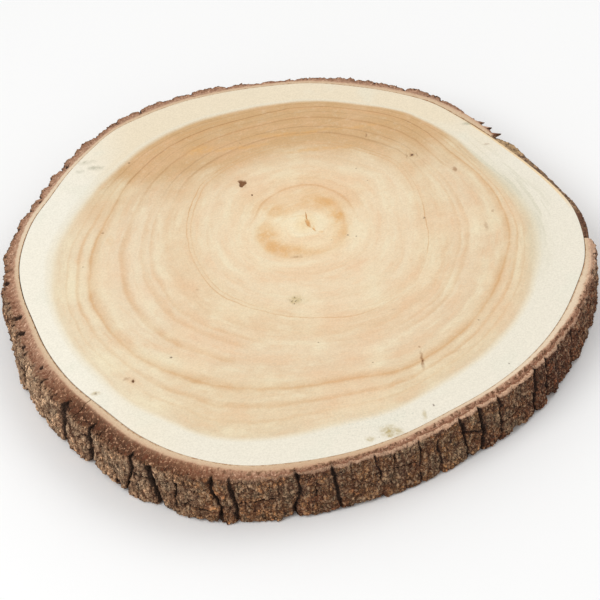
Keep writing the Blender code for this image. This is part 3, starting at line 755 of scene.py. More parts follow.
def check_cutter(x, y, length, width, depth, turn):
    """A thin boat-shaped wedge: widest in the middle, and both ends in points."""
    cutter, places = ball(x, y, 0.5, turn, segments=16, ring_count=10)
    along = places[:, 1] / (0.5 * MM)
    places[:, 0] = places[:, 0] * width * (1 - 0.5 * np.abs(along)) + 0.00012 * np.sin(7 * along)
    places[:, 1] *= length
    places[:, 2] *= 2 * depth
    set_places(cutter.data, places)
    return cutter


def cut_from(piece, cutter):
    cut = piece.modifiers.new(cutter.name, "BOOLEAN")
    cut.operation = "DIFFERENCE"
    cut.object = cutter
    bpy.context.view_layer.objects.active = piece
    bpy.ops.object.modifier_apply(modifier=cut.name)
    bpy.data.objects.remove(cutter)


# The disc's map: the middle and half size of its top and of its underside, the width of a quarter
# of its side, where the first quarter lies and how far apart they are, and the side's scale.
TOP_MAP = (0.335, 0.32)
UNDER_MAP = (0.75, 0.24)
QUARTER_WIDTH = 0.44
QUARTER_LEFT = 0.02
QUARTER_LOW = 0.70
QUARTER_STEP = 0.07
SIDE_SCALE = 1.6
MAP_REACH = 0.16
INNER_REACH = 0.130


def lay_out_disc(mesh):
    """The disc's own map: its top and its underside seen flat, and its side in four strips."""
    totals = read(mesh.polygons, "loop_total", kind=int)
    up = np.repeat(read(mesh.polygons, "normal", 3)[:, 2], totals)
    face = np.repeat(read(mesh.polygons, "center", 3), totals, 0)
    place = places_of(mesh)[read(mesh.loops, "vertex_index", kind=int)]
    top, under = (middle + half * place[:, :2] / MAP_REACH for middle, half in (TOP_MAP, UNDER_MAP))
    quarter = np.floor(np.mod(np.degrees(np.arctan2(face[:, 1], face[:, 0])), 360.0) / 90.0)
    turn = np.degrees(np.arctan2(place[:, 1], place[:, 0])) - 90.0 * quarter
    turn = np.mod(turn + 180.0, 360.0) - 180.0
    side = np.stack([QUARTER_LEFT + QUARTER_WIDTH * turn / 90.0,
                     QUARTER_LOW + QUARTER_STEP * quarter + SIDE_SCALE * place[:, 2]], -1)
    inside = np.hypot(face[:, 0], face[:, 1]) < INNER_REACH
    uv = np.where((up < -0.5)[:, None], under, side)
    uv = np.where(((up > 0.5) | inside & (face[:, 2] > 0.002))[:, None], top, uv)
    keep_map(mesh, uv)


def paint(red, green, blue):
    """A colour given as it looks on a screen, 0 to 255, as the linear one that a node takes."""
    return tuple(c / 12.92 if c <= 0.04045 else ((c + 0.055) / 1.055) ** 2.4
                 for c in (red / 255.0, green / 255.0, blue / 255.0)) + (1.0,)


class Nodes:
    """Adds nodes to one tree. A value that is a socket is linked, any other is set."""

    def __init__(self, tree):
        self.tree = tree

    def add(self, kind, inputs=None, **settings):
        node = self.tree.nodes.new(kind)
        for name, value in settings.items():
            setattr(node, name, value)
        for name, value in (inputs or {}).items():
            self.feed(node.inputs[name], value)
        return node

    def feed(self, socket, value):
        if isinstance(value, bpy.types.NodeSocket):
            self.tree.links.new(value, socket)
        else:
            socket.default_value = value

    def calc(self, operation, *values):
        return self.add("ShaderNodeMath", dict(enumerate(values)), operation=operation).outputs[0]

    def times(self, *values):
        """The values multiplied together."""
        product = values[0]
        for value in values[1:]:
            product = self.calc("MULTIPLY", product, value)
        return product

    def between(self, value, low, high, to_low=0.0, to_high=1.0, smooth=True):
        """The value stretched from one range to another, and held inside it."""
        node = self.add("ShaderNodeMapRange", {"Value": value, "From Min": low, "From Max": high,
                                               "To Min": to_low, "To Max": to_high},
                        interpolation_type="SMOOTHSTEP" if smooth else "LINEAR")
        return node.outputs["Result"]

    def band(self, value, start, full, last, end):
        """One from full to last, and down to nought at the start and at the end."""
        return self.times(self.between(value, start, full), self.between(value, end, last))

    def mix(self, share, under, over, blend="MIX"):
        node = self.add("ShaderNodeMix", {0: share, 6: under, 7: over}, data_type="RGBA",
                        blend_type=blend, clamp_result=False)
        return node.outputs[2]

    def coat(self, colour, tint, *shares):
        """The colour with a paint laid over it, by the product of the shares."""
        return self.mix(self.times(*shares), colour, paint(*tint))

    def noise(self, place, scale, detail=2.0, roughness=0.5):
        """Noise between 0 and 1, with this many lumps to a metre."""
        return self.add("ShaderNodeTexNoise", {"Vector": place, "Scale": scale, "Detail": detail,
                                               "Roughness": roughness}).outputs[0]

    def swing(self, *noise):
        """Noise about nought, from -0.5 to 0.5."""
        return self.calc("SUBTRACT", self.noise(*noise), 0.5)

    def place(self, turn=0.0, stretch=(1.0, 1.0, 1.0)):
        """The point's own place, with a pattern turned by this angle and then pressed together."""
        source = self.add("ShaderNodeTexCoord").outputs["Object"]
        settings = {"Vector": source, "Rotation": (0.0, 0.0, math.radians(turn)),
                    "Scale": tuple(1.0 / s for s in stretch)}
        return self.add("ShaderNodeMapping", settings, vector_type="TEXTURE").outputs[0]

    def vector(self, x, y, z):
        return self.add("ShaderNodeCombineXYZ", {0: x, 1: y, 2: z}).outputs[0]

    def mark(self, name):
        return self.add("ShaderNodeAttribute", attribute_name=name).outputs["Fac"]

    def ramp(self, value, stops, top):
        """A run of colours, given as (place, screen colour) with places from 0 to the top."""
        node = self.add("ShaderNodeValToRGB", {"Fac": self.calc("DIVIDE", value, top)})
        bands = node.color_ramp.elements
        for band, (place, tint) in ((bands[0], stops[0]), (bands[1], stops[-1])):
            band.position = place / top
            band.color = paint(*tint)
        for place, tint in stops[1:-1]:
            bands.new(place / top).color = paint(*tint)
        return node.outputs[0]

    def group(self, group, **inputs):
        node = self.add("ShaderNodeGroup", node_tree=group)
        for name, value in inputs.items():
            self.feed(node.inputs[name.replace("_", " ").capitalize()], value)
        return node.outputs


NUMBER = "NodeSocketFloat"


def new_group(name, inputs, outputs):
    """An empty node group. Its inputs are numbers, by name and first value, and a place if asked."""
    group = bpy.data.node_groups.new(name, "ShaderNodeTree")
    for label, value in inputs.items():
        kind = "NodeSocketVector" if value is None else NUMBER
        socket = group.interface.new_socket(label, in_out="INPUT", socket_type=kind)
        if value is not None:
            socket.default_value = value
    for label in outputs:
        group.interface.new_socket(label, in_out="OUTPUT", socket_type=NUMBER)
    nodes = Nodes(group)
    return group, nodes, nodes.add("NodeGroupInput").outputs, nodes.add("NodeGroupOutput").inputs


def growth_line_group():
    """One growth ring: it darkens slowly from the inside and ends sharply on the outside."""
    group, nodes, given, out = new_group(
        "growth_line", {"Growth": 0.0, "Level": 50.0, "Inner": 2.0, "Outer": 0.5}, ["Mask"])
    start = nodes.calc("SUBTRACT", given["Level"], given["Inner"])
    end = nodes.calc("ADD", given["Level"], given["Outer"])
    nodes.feed(out["Mask"], nodes.band(given["Growth"], start, given["Level"], given["Level"], end))
    return group


def spot_group():
    """A soft-edged oval stain at a place on the sawn face, in millimetres."""
    group, nodes, given, out = new_group(
        "spot", {"Along x": 0.0, "Along y": 0.0, "Middle x": 0.0, "Middle y": 0.0,
                 "Half width": 1.0, "Half height": 1.0}, ["Mask"])
    squares = []
    for axis, half in (("x", "Half width"), ("y", "Half height")):
        away = nodes.calc("SUBTRACT", given["Along " + axis], given["Middle " + axis])
        away = nodes.calc("DIVIDE", away, given[half])
        squares.append(nodes.times(away, away))
    away = nodes.calc("SQRT", nodes.calc("ADD", *squares))
    nodes.feed(out["Mask"], nodes.between(away, 0.20, 1.20, 1.0, 0.0))
    return group


def fine_grain_group():
    """Fine speckle that every surface has: a tint to multiply by and a height for its bump."""
    group, nodes, given, out = new_group(
        "fine_grain", {"Place": None, "Size": 0.001, "Strength": 0.05}, ["Tint", "Height"])
    noise = nodes.noise(given["Place"], nodes.calc("DIVIDE", 1.0, given["Size"]), 3.0, 0.65)
    centred = nodes.calc("SUBTRACT", noise, 0.5)
    tint = nodes.calc("MULTIPLY_ADD", centred, nodes.times(given["Strength"], 4.0), 1.0)
    nodes.feed(out["Tint"], tint)
    nodes.feed(out["Height"], noise)
    return group


def granule_group():
    """Small grains packed together: a number between 0 and 1 for each, and a height for its bump."""
    group, nodes, given, out = new_group(
        "granules", {"Place": None, "Size": 0.001}, ["Number", "Height"])
    scale = nodes.calc("DIVIDE", 1.0, given["Size"])
    cells = nodes.add("ShaderNodeTexVoronoi", {"Vector": given["Place"], "Scale": scale}).outputs
    parts = nodes.add("ShaderNodeSeparateColor", {0: cells["Color"]}).outputs
    nodes.feed(out["Number"], parts[0])
    nodes.feed(out["Height"], nodes.between(cells["Distance"], 0.05, 0.65, 1.0, 0.0))
    return group


def new_material(name, roughness):
    material = bpy.data.materials.new(name)
    material.use_nodes = True
    shader = material.node_tree.nodes["Principled BSDF"]
    shader.inputs["Roughness"].default_value = roughness
    shader.inputs["Specular IOR Level"].default_value = 0.25
    return material, Nodes(material.node_tree), shader.inputs


def add_bump(nodes, shader, height, strength, distance):
    bump = nodes.add("ShaderNodeBump", {"Height": height, "Strength": strength, "Distance": distance})
    nodes.feed(shader["Normal"], bump.outputs[0])


# Colours of the sawn wood, from the pith out, at each growth.
WOOD_COLOURS = [
    (0.0, (236, 208, 164)), (3.0, (239, 216, 174)), (8.0, (241, 223, 188)), (13.0, (239, 217, 180)),
    (18.0, (239, 217, 180)), (22.5, (233, 207, 168)), (27.0, (236, 213, 178)),
    (40.0, (234, 211, 177)), (55.0, (233, 212, 179)), (62.0, (229, 204, 168)),
    (75.0, (228, 203, 168)), (85.0, (229, 206, 173)), (93.0, (225, 200, 166)),
    (99.0, (228, 207, 173)), (103.0, (223, 197, 160)), (106.0, (226, 203, 168)),
    (113.0, (225, 203, 168)), (116.5, (222, 201, 168)), (119.0, (231, 219, 194)),
    (121.5, (234, 227, 209)), (141.0, (235, 228, 211)),
]
# Named rings: growth, how slowly each darkens, how sharply it ends, strength, the y from which
# it shows towards the back, and the y minus x from which it shows towards the back and the left.
RING_LINES = [
    (29.0, 1.6, 0.8, 0.42, 30.0, -300.0), (34.5, 1.8, 1.0, 0.12, -200.0, -300.0),
    (52.0, 5.0, 2.0, 0.10, -200.0, -300.0), (THIN_GROWTH - 2.2, 0.6, 0.5, 0.36, -200.0, -30.0),
    (THIN_GROWTH, 0.5, 0.4, 0.60, -200.0, -78.0), (73.0, 5.0, 2.0, 0.12, -200.0, -300.0),
    (79.0, 2.0, 1.0, 0.18, -60.0, -300.0), (83.0, 3.0, 1.2, 0.22, -60.0, -300.0),
    (91.0, 3.0, 1.6, 0.40, -110.0, -32.0),
    (STRONG_GROWTH, 5.0, 1.8, 0.36, -200.0, -300.0), (STRONG_GROWTH, 1.0, 0.8, 0.36, -200.0, -300.0),
    (108.2, 1.8, 1.0, 0.34, -200.0, -300.0), (112.4, 1.0, 0.7, 0.16, -200.0, -300.0),
]
# Rings that show only in the darker wood at the back: growth, inner, outer, strength.
BACK_LINES = [(STRONG_GROWTH, 0.9, 0.6, 0.85), (91.0, 1.4, 0.6, 0.45), (81.0, 1.2, 0.6, 0.45),
              (74.0, 1.8, 0.8, 0.50), (113.0, 1.2, 0.6, 0.40), (97.0, 0.8, 0.5, 0.30)]
# Marks of one kind: x, y, half width, half height, strength.
AMBER_PATCHES = [
    (-13.5, 17.0, 11.0, 15.0, 0.85), (-4.0, 7.0, 13.0, 8.0, 0.75), (24.5, 31.0, 9.0, 8.0, 1.00),
    (16.0, 43.0, 16.0, 9.0, 0.85), (26.0, 18.0, 8.0, 14.0, 0.55), (-8.0, 40.0, 13.0, 7.0, 0.50),
    (10.0, 4.0, 14.0, 6.0, 0.35), (9.0, 38.0, 14.0, 5.0, 0.50), (9.0, 28.5, 3.0, 8.0, 0.50),
    (12.5, 19.5, 2.0, 5.0, 0.45),
]
AMBER_STREAKS = [
    (6.0, 104.0, 30.0, 2.2, 0.60), (-24.0, 97.0, 20.0, 1.8, 0.55), (-46.0, 99.0, 11.0, 4.5, 0.60),
    (46.0, 104.0, 16.0, 1.8, 0.45), (-98.0, 31.0, 2.5, 5.0, 0.30), (20.0, 88.0, 26.0, 2.0, 0.45),
    (8.9, 27.6, 1.5, 3.2, 0.90), (8.4, 32.0, 0.8, 3.6, 0.60), (11.8, 22.6, 0.9, 2.4, 0.60),
    (15.5, 19.5, 1.8, 1.0, 0.45), (3.0, 34.4, 6.0, 0.8, 0.30),
]
BROWN_MARKS = [
    (70.2, 74.0, 1.8, 2.0, 0.75), (67.3, 74.0, 0.5, 2.8, 0.40), (73.0, 74.0, 0.5, 2.8, 0.35),
    (92.0, 58.0, 1.4, 2.4, 0.65), (47.0, 95.5, 0.6, 2.0, 0.60), (-102.0, 38.5, 1.3, 1.0, 0.55),
    (-92.0, -76.0, 2.6, 1.4, 0.50), (-89.0, -78.0, 1.4, 2.0, 0.65), (58.0, -86.5, 1.0, 8.5, 0.55),
    (58.0, -86.5, 0.8, 3.4, 0.55), (57.5, -76.5, 0.8, 0.8, 0.60), (-53.0, -15.0, 1.4, 0.8, 0.35),
    (103.0, 9.0, 1.2, 4.5, 0.34), (107.8, 20.5, 0.9, 1.6, 0.40), (48.0, -47.0, 2.0, 1.0, 0.25),
    (112.0, 76.0, 2.4, 1.2, 0.35),
    (1.0, 1.8, 3.8, 1.3, 0.50), (-24.3, 66.5, 3.4, 3.8, 0.35),
]
SPECKS = [
    (29.2, 14.3, 0.7, 0.8, 0.75), (33.8, 12.4, 0.55, 0.6, 0.75), (-69.0, -64.0, 0.7, 0.7, 0.75),
    (33.0, -84.0, 0.6, 0.6, 0.65), (7.0, -65.0, 0.6, 0.6, 0.65), (71.0, 21.0, 0.6, 0.8, 0.55),
    (39.0, 68.0, 0.55, 0.6, 0.60), (44.0, 57.0, 0.5, 0.5, 0.50), (-86.0, 95.0, 0.7, 0.7, 0.60),
    (101.0, -96.0, 0.6, 0.6, 0.65), (90.0, -62.0, 0.6, 0.6, 0.50), (-113.0, 13.0, 0.6, 0.6, 0.55),
    (60.0, -119.0, 0.8, 0.8, 0.80), (70.4, 74.1, 0.9, 1.0, 1.00), (20.0, 12.0, 0.4, 0.4, 0.40),
    (-108.0, -84.0, 0.8, 0.6, 0.50), (31.0, -137.0, 0.5, 0.5, 0.60),
    (-2.6, -29.5, 0.5, 0.8, 0.65), (-4.3, -32.0, 0.5, 0.7, 0.65), (-2.2, -32.2, 0.5, 0.8, 0.65),
    (-3.3, -34.6, 0.5, 0.8, 0.65), (-5.2, -31.2, 0.4, 0.5, 0.45), (0.7, -32.0, 0.4, 0.6, 0.40),
    (-23.4, 101.0, 0.5, 0.5, 0.40),
]
OLIVE_KNOTS = [
    (36.0, -135.0, 2.6, 3.0, 1.00), (37.5, -133.5, 6.0, 5.5, 0.75), (26.0, -137.0, 3.4, 2.8, 0.55),
    (55.0, -125.0, 1.4, 4.2, 0.45), (-2.8, -32.0, 3.2, 3.6, 0.50), (-1.2, -32.0, 5.4, 4.6, 0.30),
    (-108.0, -84.0, 3.2, 1.8, 0.60),
]
GREY_MARKS = [
    (-109.0, 99.0, 6.0, 2.6, 0.60), (-104.0, 93.5, 5.0, 2.4, 0.55), (-114.0, 91.0, 4.0, 2.0, 0.35),
    (3.0, 17.3, 2.4, 0.7, 0.25), (104.0, 95.0, 4.0, 2.0, 0.5),
]
MARK_KINDS = [
    (AMBER_STREAKS, (222, 172, 108)), (BROWN_MARKS, (150, 104, 64)), (OLIVE_KNOTS, (174, 150, 84)),
    (GREY_MARKS, (158, 156, 132)), (SPECKS, (84, 52, 34)),
]


# Paints laid over the wood.
BACK_BROWN = (203, 163, 113)
LEFT_CREAM = (240, 227, 200)
PITH_TAN = (224, 184, 134)
WARM_BAND = (229, 186, 144)
COOL_BAND = (238, 226, 194)
THIN_LINE = (206, 160, 116)
RING_BROWN = (209, 162, 110)
BACK_LINE = (168, 124, 80)
CREAM_CLOUD = (238, 227, 194)
PINK_CLOUD = (234, 194, 156)
DARK_MOTTLE = (214, 174, 132)
PALE_MOTTLE = (245, 232, 204)
LIGHT_SAW_MARK = (246, 234, 206)
DARK_SAW_MARK = (204, 164, 122)
GREY_EDGE = (212, 203, 176)
GREY_BAND = (208, 203, 180)
BACK_SAPWOOD = (236, 214, 176)
RIM_TAN = (240, 204, 150)
PALE_SAPWOOD = (244, 240, 226)
CLOUDY_SAPWOOD = (228, 226, 208)
DUST_GREY = (176, 180, 166)
AMBER = (220, 168, 104)
HOLE_WALL = (134, 94, 62)
CHECK_WALL = (206, 158, 106)
# Stains with soft edges: middle x and y, half width, half height.
GREY_SIDE = (124.0, 30.0, 30.0, 75.0)
GREY_RIGHT = (122.0, 46.0, 34.0, 80.0)
DUSTY = (30.0, -126.0, 42.0, 12.0)
# A ring fades in over this much of y, and of y minus x, on each side of where it starts.
RING_FADE = 9.0
SLANT_FADE = 12.0
# Stains wider than this have wavy edges, and those wider than the second are broken up.
WAVY_FROM = 3.3
BROKEN_FROM = 1.5


def sawn_wood(growth_line, spot, fine_grain):
    """The sawn face: colour by growth, rings, clouds, stains and a light relief of saw marks."""
    material, nodes, shader = new_material("sawn_wood", 0.72)
    calc, times, between, band = nodes.calc, nodes.times, nodes.between, nodes.band
    noise, swing, coat = nodes.noise, nodes.swing, nodes.coat
    place = nodes.place()
    in_mm = nodes.add("ShaderNodeVectorMath", {0: place, "Scale": 1.0 / MM}, operation="SCALE")
    x, y, z = nodes.add("ShaderNodeSeparateXYZ", {0: in_mm.outputs[0]}).outputs
    growth = nodes.mark("growth")
    slow = swing(place, 30.0, 2.0)
    quick = swing(place, 170.0, 2.0)
    wobbly = calc("MULTIPLY_ADD", slow, 3.4, growth)
    wobbly = calc("MULTIPLY_ADD", quick, 0.9, wobbly)
    colour = nodes.ramp(wobbly, WOOD_COLOURS, BARK_GROWTH)
    heart = between(wobbly, HEARTWOOD_GROWTH - 2.0, HEARTWOOD_GROWTH + 3.0, 1.0, 0.0)

    def stain(across, up, middle_x, middle_y, half_width, half_height):
        return nodes.group(spot, along_x=across, along_y=up, middle_x=middle_x, middle_y=middle_y,
                           half_width=half_width, half_height=half_height)[0]

    def ring(level, inner, outer):
        return nodes.group(growth_line, growth=wobbly, level=level, inner=inner, outer=outer)[0]

    # The darker wood of the back, before the rings are drawn over it.
    uneven = calc("MULTIPLY_ADD", slow, 50.0, y)
    back = times(between(uneven, 46.0, 100.0), heart, between(wobbly, 36.0, 70.0))
    colour = coat(colour, BACK_BROWN, back, 0.90)
    left = times(between(x, -55.0, -90.0), between(wobbly, 64.0, 78.0), between(uneven, 70.0, 30.0))
    colour = coat(colour, LEFT_CREAM, left, 0.30)
    behind_pith = times(between(uneven, 33.0, 50.0), between(wobbly, 52.0, 22.0))
    colour = coat(colour, PITH_TAN, behind_pith, 0.55)

    # Bands and streaks that follow the rings and fade in and out along them.
    x_far = times(x, 0.034)
    y_far = times(y, 0.034)

    def along_rings(fineness, *noise_settings):
        return noise(nodes.vector(times(wobbly, fineness), x_far, y_far), 1.0, *noise_settings)

    bands = along_rings(0.16, 4.0, 0.62)
    colour = coat(colour, WARM_BAND, between(bands, 0.50, 0.66), heart, 0.30)
    not_back = times(heart, calc("MULTIPLY_ADD", back, -0.85, 1.0))
    colour = coat(colour, COOL_BAND, between(bands, 0.50, 0.34), not_back, 0.45)
    thin = between(along_rings(0.8, 3.0, 0.65), 0.56, 0.72)
    colour = coat(colour, THIN_LINE, thin, heart, 0.16, between(wobbly, 45.0, 75.0, 0.2, 1.0))
    patchy = between(noise(place, 24.0, 2.0), 0.34, 0.60, 0.35, 1.0)
    slant = calc("SUBTRACT", uneven, x)
    for level, inner, outer, strength, lowest, lowest_slant in RING_LINES:
        behind = between(uneven, lowest - RING_FADE, lowest + RING_FADE)
        beside = between(slant, lowest_slant - SLANT_FADE, lowest_slant + SLANT_FADE)
        line = times(ring(level, inner, outer), behind, beside)
        colour = coat(colour, RING_BROWN, line, patchy, strength * 1.4)
    for level, inner, outer, strength in BACK_LINES:
        colour = coat(colour, BACK_LINE, ring(level, inner, outer), back, strength)

    # Soft cloudy colour, saw marks and a grey cast where heartwood meets sapwood on the right.
    colour = coat(colour, CREAM_CLOUD, between(noise(place, 48.0), 0.48, 0.70), not_back, 0.34)
    colour = coat(colour, PINK_CLOUD, heart, between(noise(place, 27.0), 0.48, 0.70), 0.26)
    mottle = noise(place, 260.0, 3.0, 0.7)
    colour = coat(colour, DARK_MOTTLE, between(mottle, 0.52, 0.72), heart, 0.16)
    colour = coat(colour, PALE_MOTTLE, between(mottle, 0.48, 0.30), heart, 0.12)
    streak = noise(nodes.place(14.0, (16.0, 330.0, 1.0)), 1.0, 3.0, 0.7)
    sawn = times(between(noise(place, 12.0), 0.46, 0.62, 0.1, 1.0), heart)
    colour = coat(colour, LIGHT_SAW_MARK, between(streak, 0.56, 0.74, 0.0, 0.16), sawn)
    colour = coat(colour, DARK_SAW_MARK, between(streak, 0.44, 0.28, 0.0, 0.16), sawn)
    grey_side = times(stain(x, y, *GREY_SIDE), band(wobbly, 109.0, 117.0, 120.0, 128.0))
    colour = coat(colour, GREY_EDGE, grey_side, 0.40)
    grey_bands = times(between(along_rings(0.42), 0.47, 0.60), stain(x, y, *GREY_RIGHT))
    colour = coat(colour, GREY_BAND, grey_bands, band(wobbly, 114.0, 119.0, 126.0, 137.0), 0.50)
    sap = times(between(wobbly, 119.0, 122.0), between(uneven, 60.0, 110.0, 0.0, 0.5))
    colour = coat(colour, BACK_SAPWOOD, sap)
    rim = times(between(growth, 138.9, 139.8), between(x, 90.0, 110.0), between(y, 10.0, 30.0))
    colour = coat(colour, RIM_TAN, rim, 0.7)
    pale_side = times(between(x, -80.0, -120.0), between(wobbly, 122.0, 126.0))
    colour = coat(colour, PALE_SAPWOOD, pale_side, 0.55)
    clouds = times(between(noise(place, 45.0, 3.0), 0.52, 0.70), between(wobbly, 120.0, 124.0))
    colour = coat(colour, CLOUDY_SAPWOOD, clouds, 0.35)
    dusty = times(stain(x, y, *DUSTY), between(noise(place, 760.0, 4.0, 0.7), 0.52, 0.66))
    colour = coat(colour, DUST_GREY, dusty, 0.34)

    # Knots, stains and specks, with ragged edges.
    ragged_x = calc("MULTIPLY_ADD", swing(place, 480.0, 2.0), 2.0, x)
    ragged_y = calc("MULTIPLY_ADD", swing(place, 390.0, 2.0), 2.0, y)
    wavy_x = calc("MULTIPLY_ADD", quick, 9.0, ragged_x)
    wavy_y = calc("MULTIPLY_ADD", slow, 9.0, ragged_y)
    soft = times(between(noise(place, 150.0, 3.0, 0.6), 0.36, 0.62, 0.45, 1.0),
                 between(wobbly, 11.0, 18.0, 0.12, 1.0), between(wobbly, 26.0, 21.5))
    for *oval, strength in AMBER_PATCHES:
        colour = coat(colour, AMBER, stain(wavy_x, wavy_y, *oval), strength * 0.9, soft)
    broken = between(noise(place, 300.0, 3.0, 0.6), 0.38, 0.58, 0.35, 1.0)
    for marks, tint in MARK_KINDS:
        for *oval, strength in marks:
            wide = oval[2]
            edges = (wavy_x, wavy_y) if wide > WAVY_FROM else (ragged_x, ragged_y)
            shares = [strength, broken] if wide > BROKEN_FROM else [strength]
            colour = coat(colour, tint, stain(*edges, *oval), *shares)

    # The walls of the holes are dark, and the shallow check in the pith is only brown.
    inside = times(between(z, THICKNESS - 0.2, THICKNESS - 0.9), between(growth, 118.0, 112.0),
                   between(z, 0.2, 1.2))
    wall = nodes.mix(between(growth, 16.0, 14.0), paint(*HOLE_WALL), paint(*CHECK_WALL))
    colour = nodes.mix(inside, colour, wall)
    grain = nodes.group(fine_grain, place=place, size=0.0009, strength=0.10)
    nodes.feed(shader["Base Color"], nodes.mix(1.0, colour, grain["Tint"], "MULTIPLY"))
    saw = calc("MULTIPLY_ADD", streak, 0.6, times(grain["Height"], 0.4))
    add_bump(nodes, shader, saw, 0.35, 0.0003)
    return material


# Colours of the bark down its section: inner face 0 to 1, sawn ledge 1 to 2, torn slope 2 to 3,
# outer face 3 to 4, foot 4 to 5 and underside 5 to 6.
BARK_SECTION = [
    (0.0, (176, 128, 92)), (0.95, (168, 120, 84)), (1.04, (190, 158, 124)), (1.2, (216, 190, 158)),
    (1.7, (207, 175, 144)), (2.05, (194, 152, 124)), (2.4, (174, 130, 103)), (2.85, (154, 112, 86)),
    (3.05, (128, 94, 68)), (4.9, (110, 80, 58)), (5.3, (146, 106, 78)), (6.0, (206, 168, 132)),
]


# Tint of the outer bark round the slice: its own colour, with painted light on the left-front side
# that faces the key lamp (about 190 to 218 degrees) and painted shade on the right (about 320 to 333).
BARK_TINTS_AND_LIGHT = [
    (0, (156, 98, 66)), (36, (166, 122, 88)), (100, (184, 140, 102)), (170, (204, 158, 118)),
    (190, (222, 174, 132)), (200, (246, 202, 160)), (208, (250, 204, 160)), (218, (222, 160, 112)),
    (231, (218, 164, 116)), (237, (208, 160, 116)), (246, (190, 138, 92)), (259, (208, 148, 98)),
    (269, (158, 114, 76)), (281, (172, 124, 82)), (298, (176, 130, 86)), (313, (156, 108, 74)),
    (320, (126, 76, 48)), (325, (78, 38, 22)), (333, (136, 80, 48)), (345, (144, 90, 58)),
    (352, (170, 128, 96)), (360, (156, 98, 66)),
]
# How light the torn slope is round the slice.
SLOPE_LIGHT = [(0, 245), (150, 255), (180, 255), (200, 250), (211, 214), (218, 150), (232, 158),
               (242, 190), (256, 252), (330, 254), (345, 255), (360, 250)]
# How the grains of the outer bark lighten and darken it: which grains and value, the value's top,
# and the darkest and the lightest that it makes the bark. The numbers give each grain its own tone;
# the heights are painted shade between the grains and a painted highlight on their tops.
GRAIN_TONE_AND_SHADE = [
    ("grains", "Number", 1.0, 0.50, 1.50), ("grit", "Number", 1.0, 0.60, 1.40),
    ("crumbs", "Number", 1.0, 0.65, 1.35), ("grains", "Height", 0.8, 0.42, 1.20),
    ("crumbs", "Height", 0.7, 0.50, 1.15),
]
LIGHTEST = 2.1
# Stretches of the slice, in degrees: where each starts, is full, is last full and ends.
HIDDEN_SIDE = (36.0, 44.0, 162.0, 178.0)
# The left-front side: weathered, paler bark, also lightened as painted light where it faces the key lamp.
WEATHERED_AND_LIT_SIDE = (178.0, 192.0, 236.0, 252.0)
# Painted light: the outer bark is lightened most here, where it faces the key lamp.
PAINTED_LIGHT_SIDE = (194.0, 202.0, 208.0, 216.0)
BROWN_SIDE = (200.0, 216.0, 244.0, 258.0)
RED_SHADED_SIDE = (312.0, 320.0, 334.0, 344.0)
FAIR_SIDE = (286.0, 315.0, 340.0, 356.0)
WORN_SIDE = (246.0, 262.0, 280.0, 292.0)
FRESH_SIDE = (124.0, 142.0, 162.0, 178.0)
TAN_PATCH = (25.5, 28.0, 33.0, 34.5)
# Paints of the bark.
GREY_BARK = (160, 136, 108)
RUST = (152, 92, 60)
FADED_BARK = (206, 178, 148)
DRY_STROKE = (210, 174, 140)
CREVICE_SHADE = (44, 27, 19)
PALE_GRAIN = (196, 162, 130)
WARM_FLECK = (200, 166, 132)
DARK_FIBRE = (124, 72, 50)
PALE_FIBRE = (240, 198, 168)
BROWN_SLOPE = (242, 226, 210)
FAIR_LEDGE = (238, 220, 194)
WORN_LEDGE = (190, 148, 112)
FRESH_LEDGE = (238, 222, 196)
FRESH_SLOPE = (224, 188, 158)
MOSS = (106, 76, 52)
RED_FLANK = (118, 68, 44)
FURROW_DARK_AND_SHADE = (38, 23, 15)
LIP_PALE = (204, 158, 130)
LIP_SHADE = (140, 92, 66)
LIP_HIGHLIGHT = (226, 184, 152)
DARK_BAST = (96, 72, 54)
PALE_BAST = (168, 136, 104)
TAN_BAST = (196, 164, 122)
RED_BAST = (96, 58, 42)
INNER_FACE = (176, 128, 92)
BAST_DARK_AND_SHADE = (48, 30, 22)


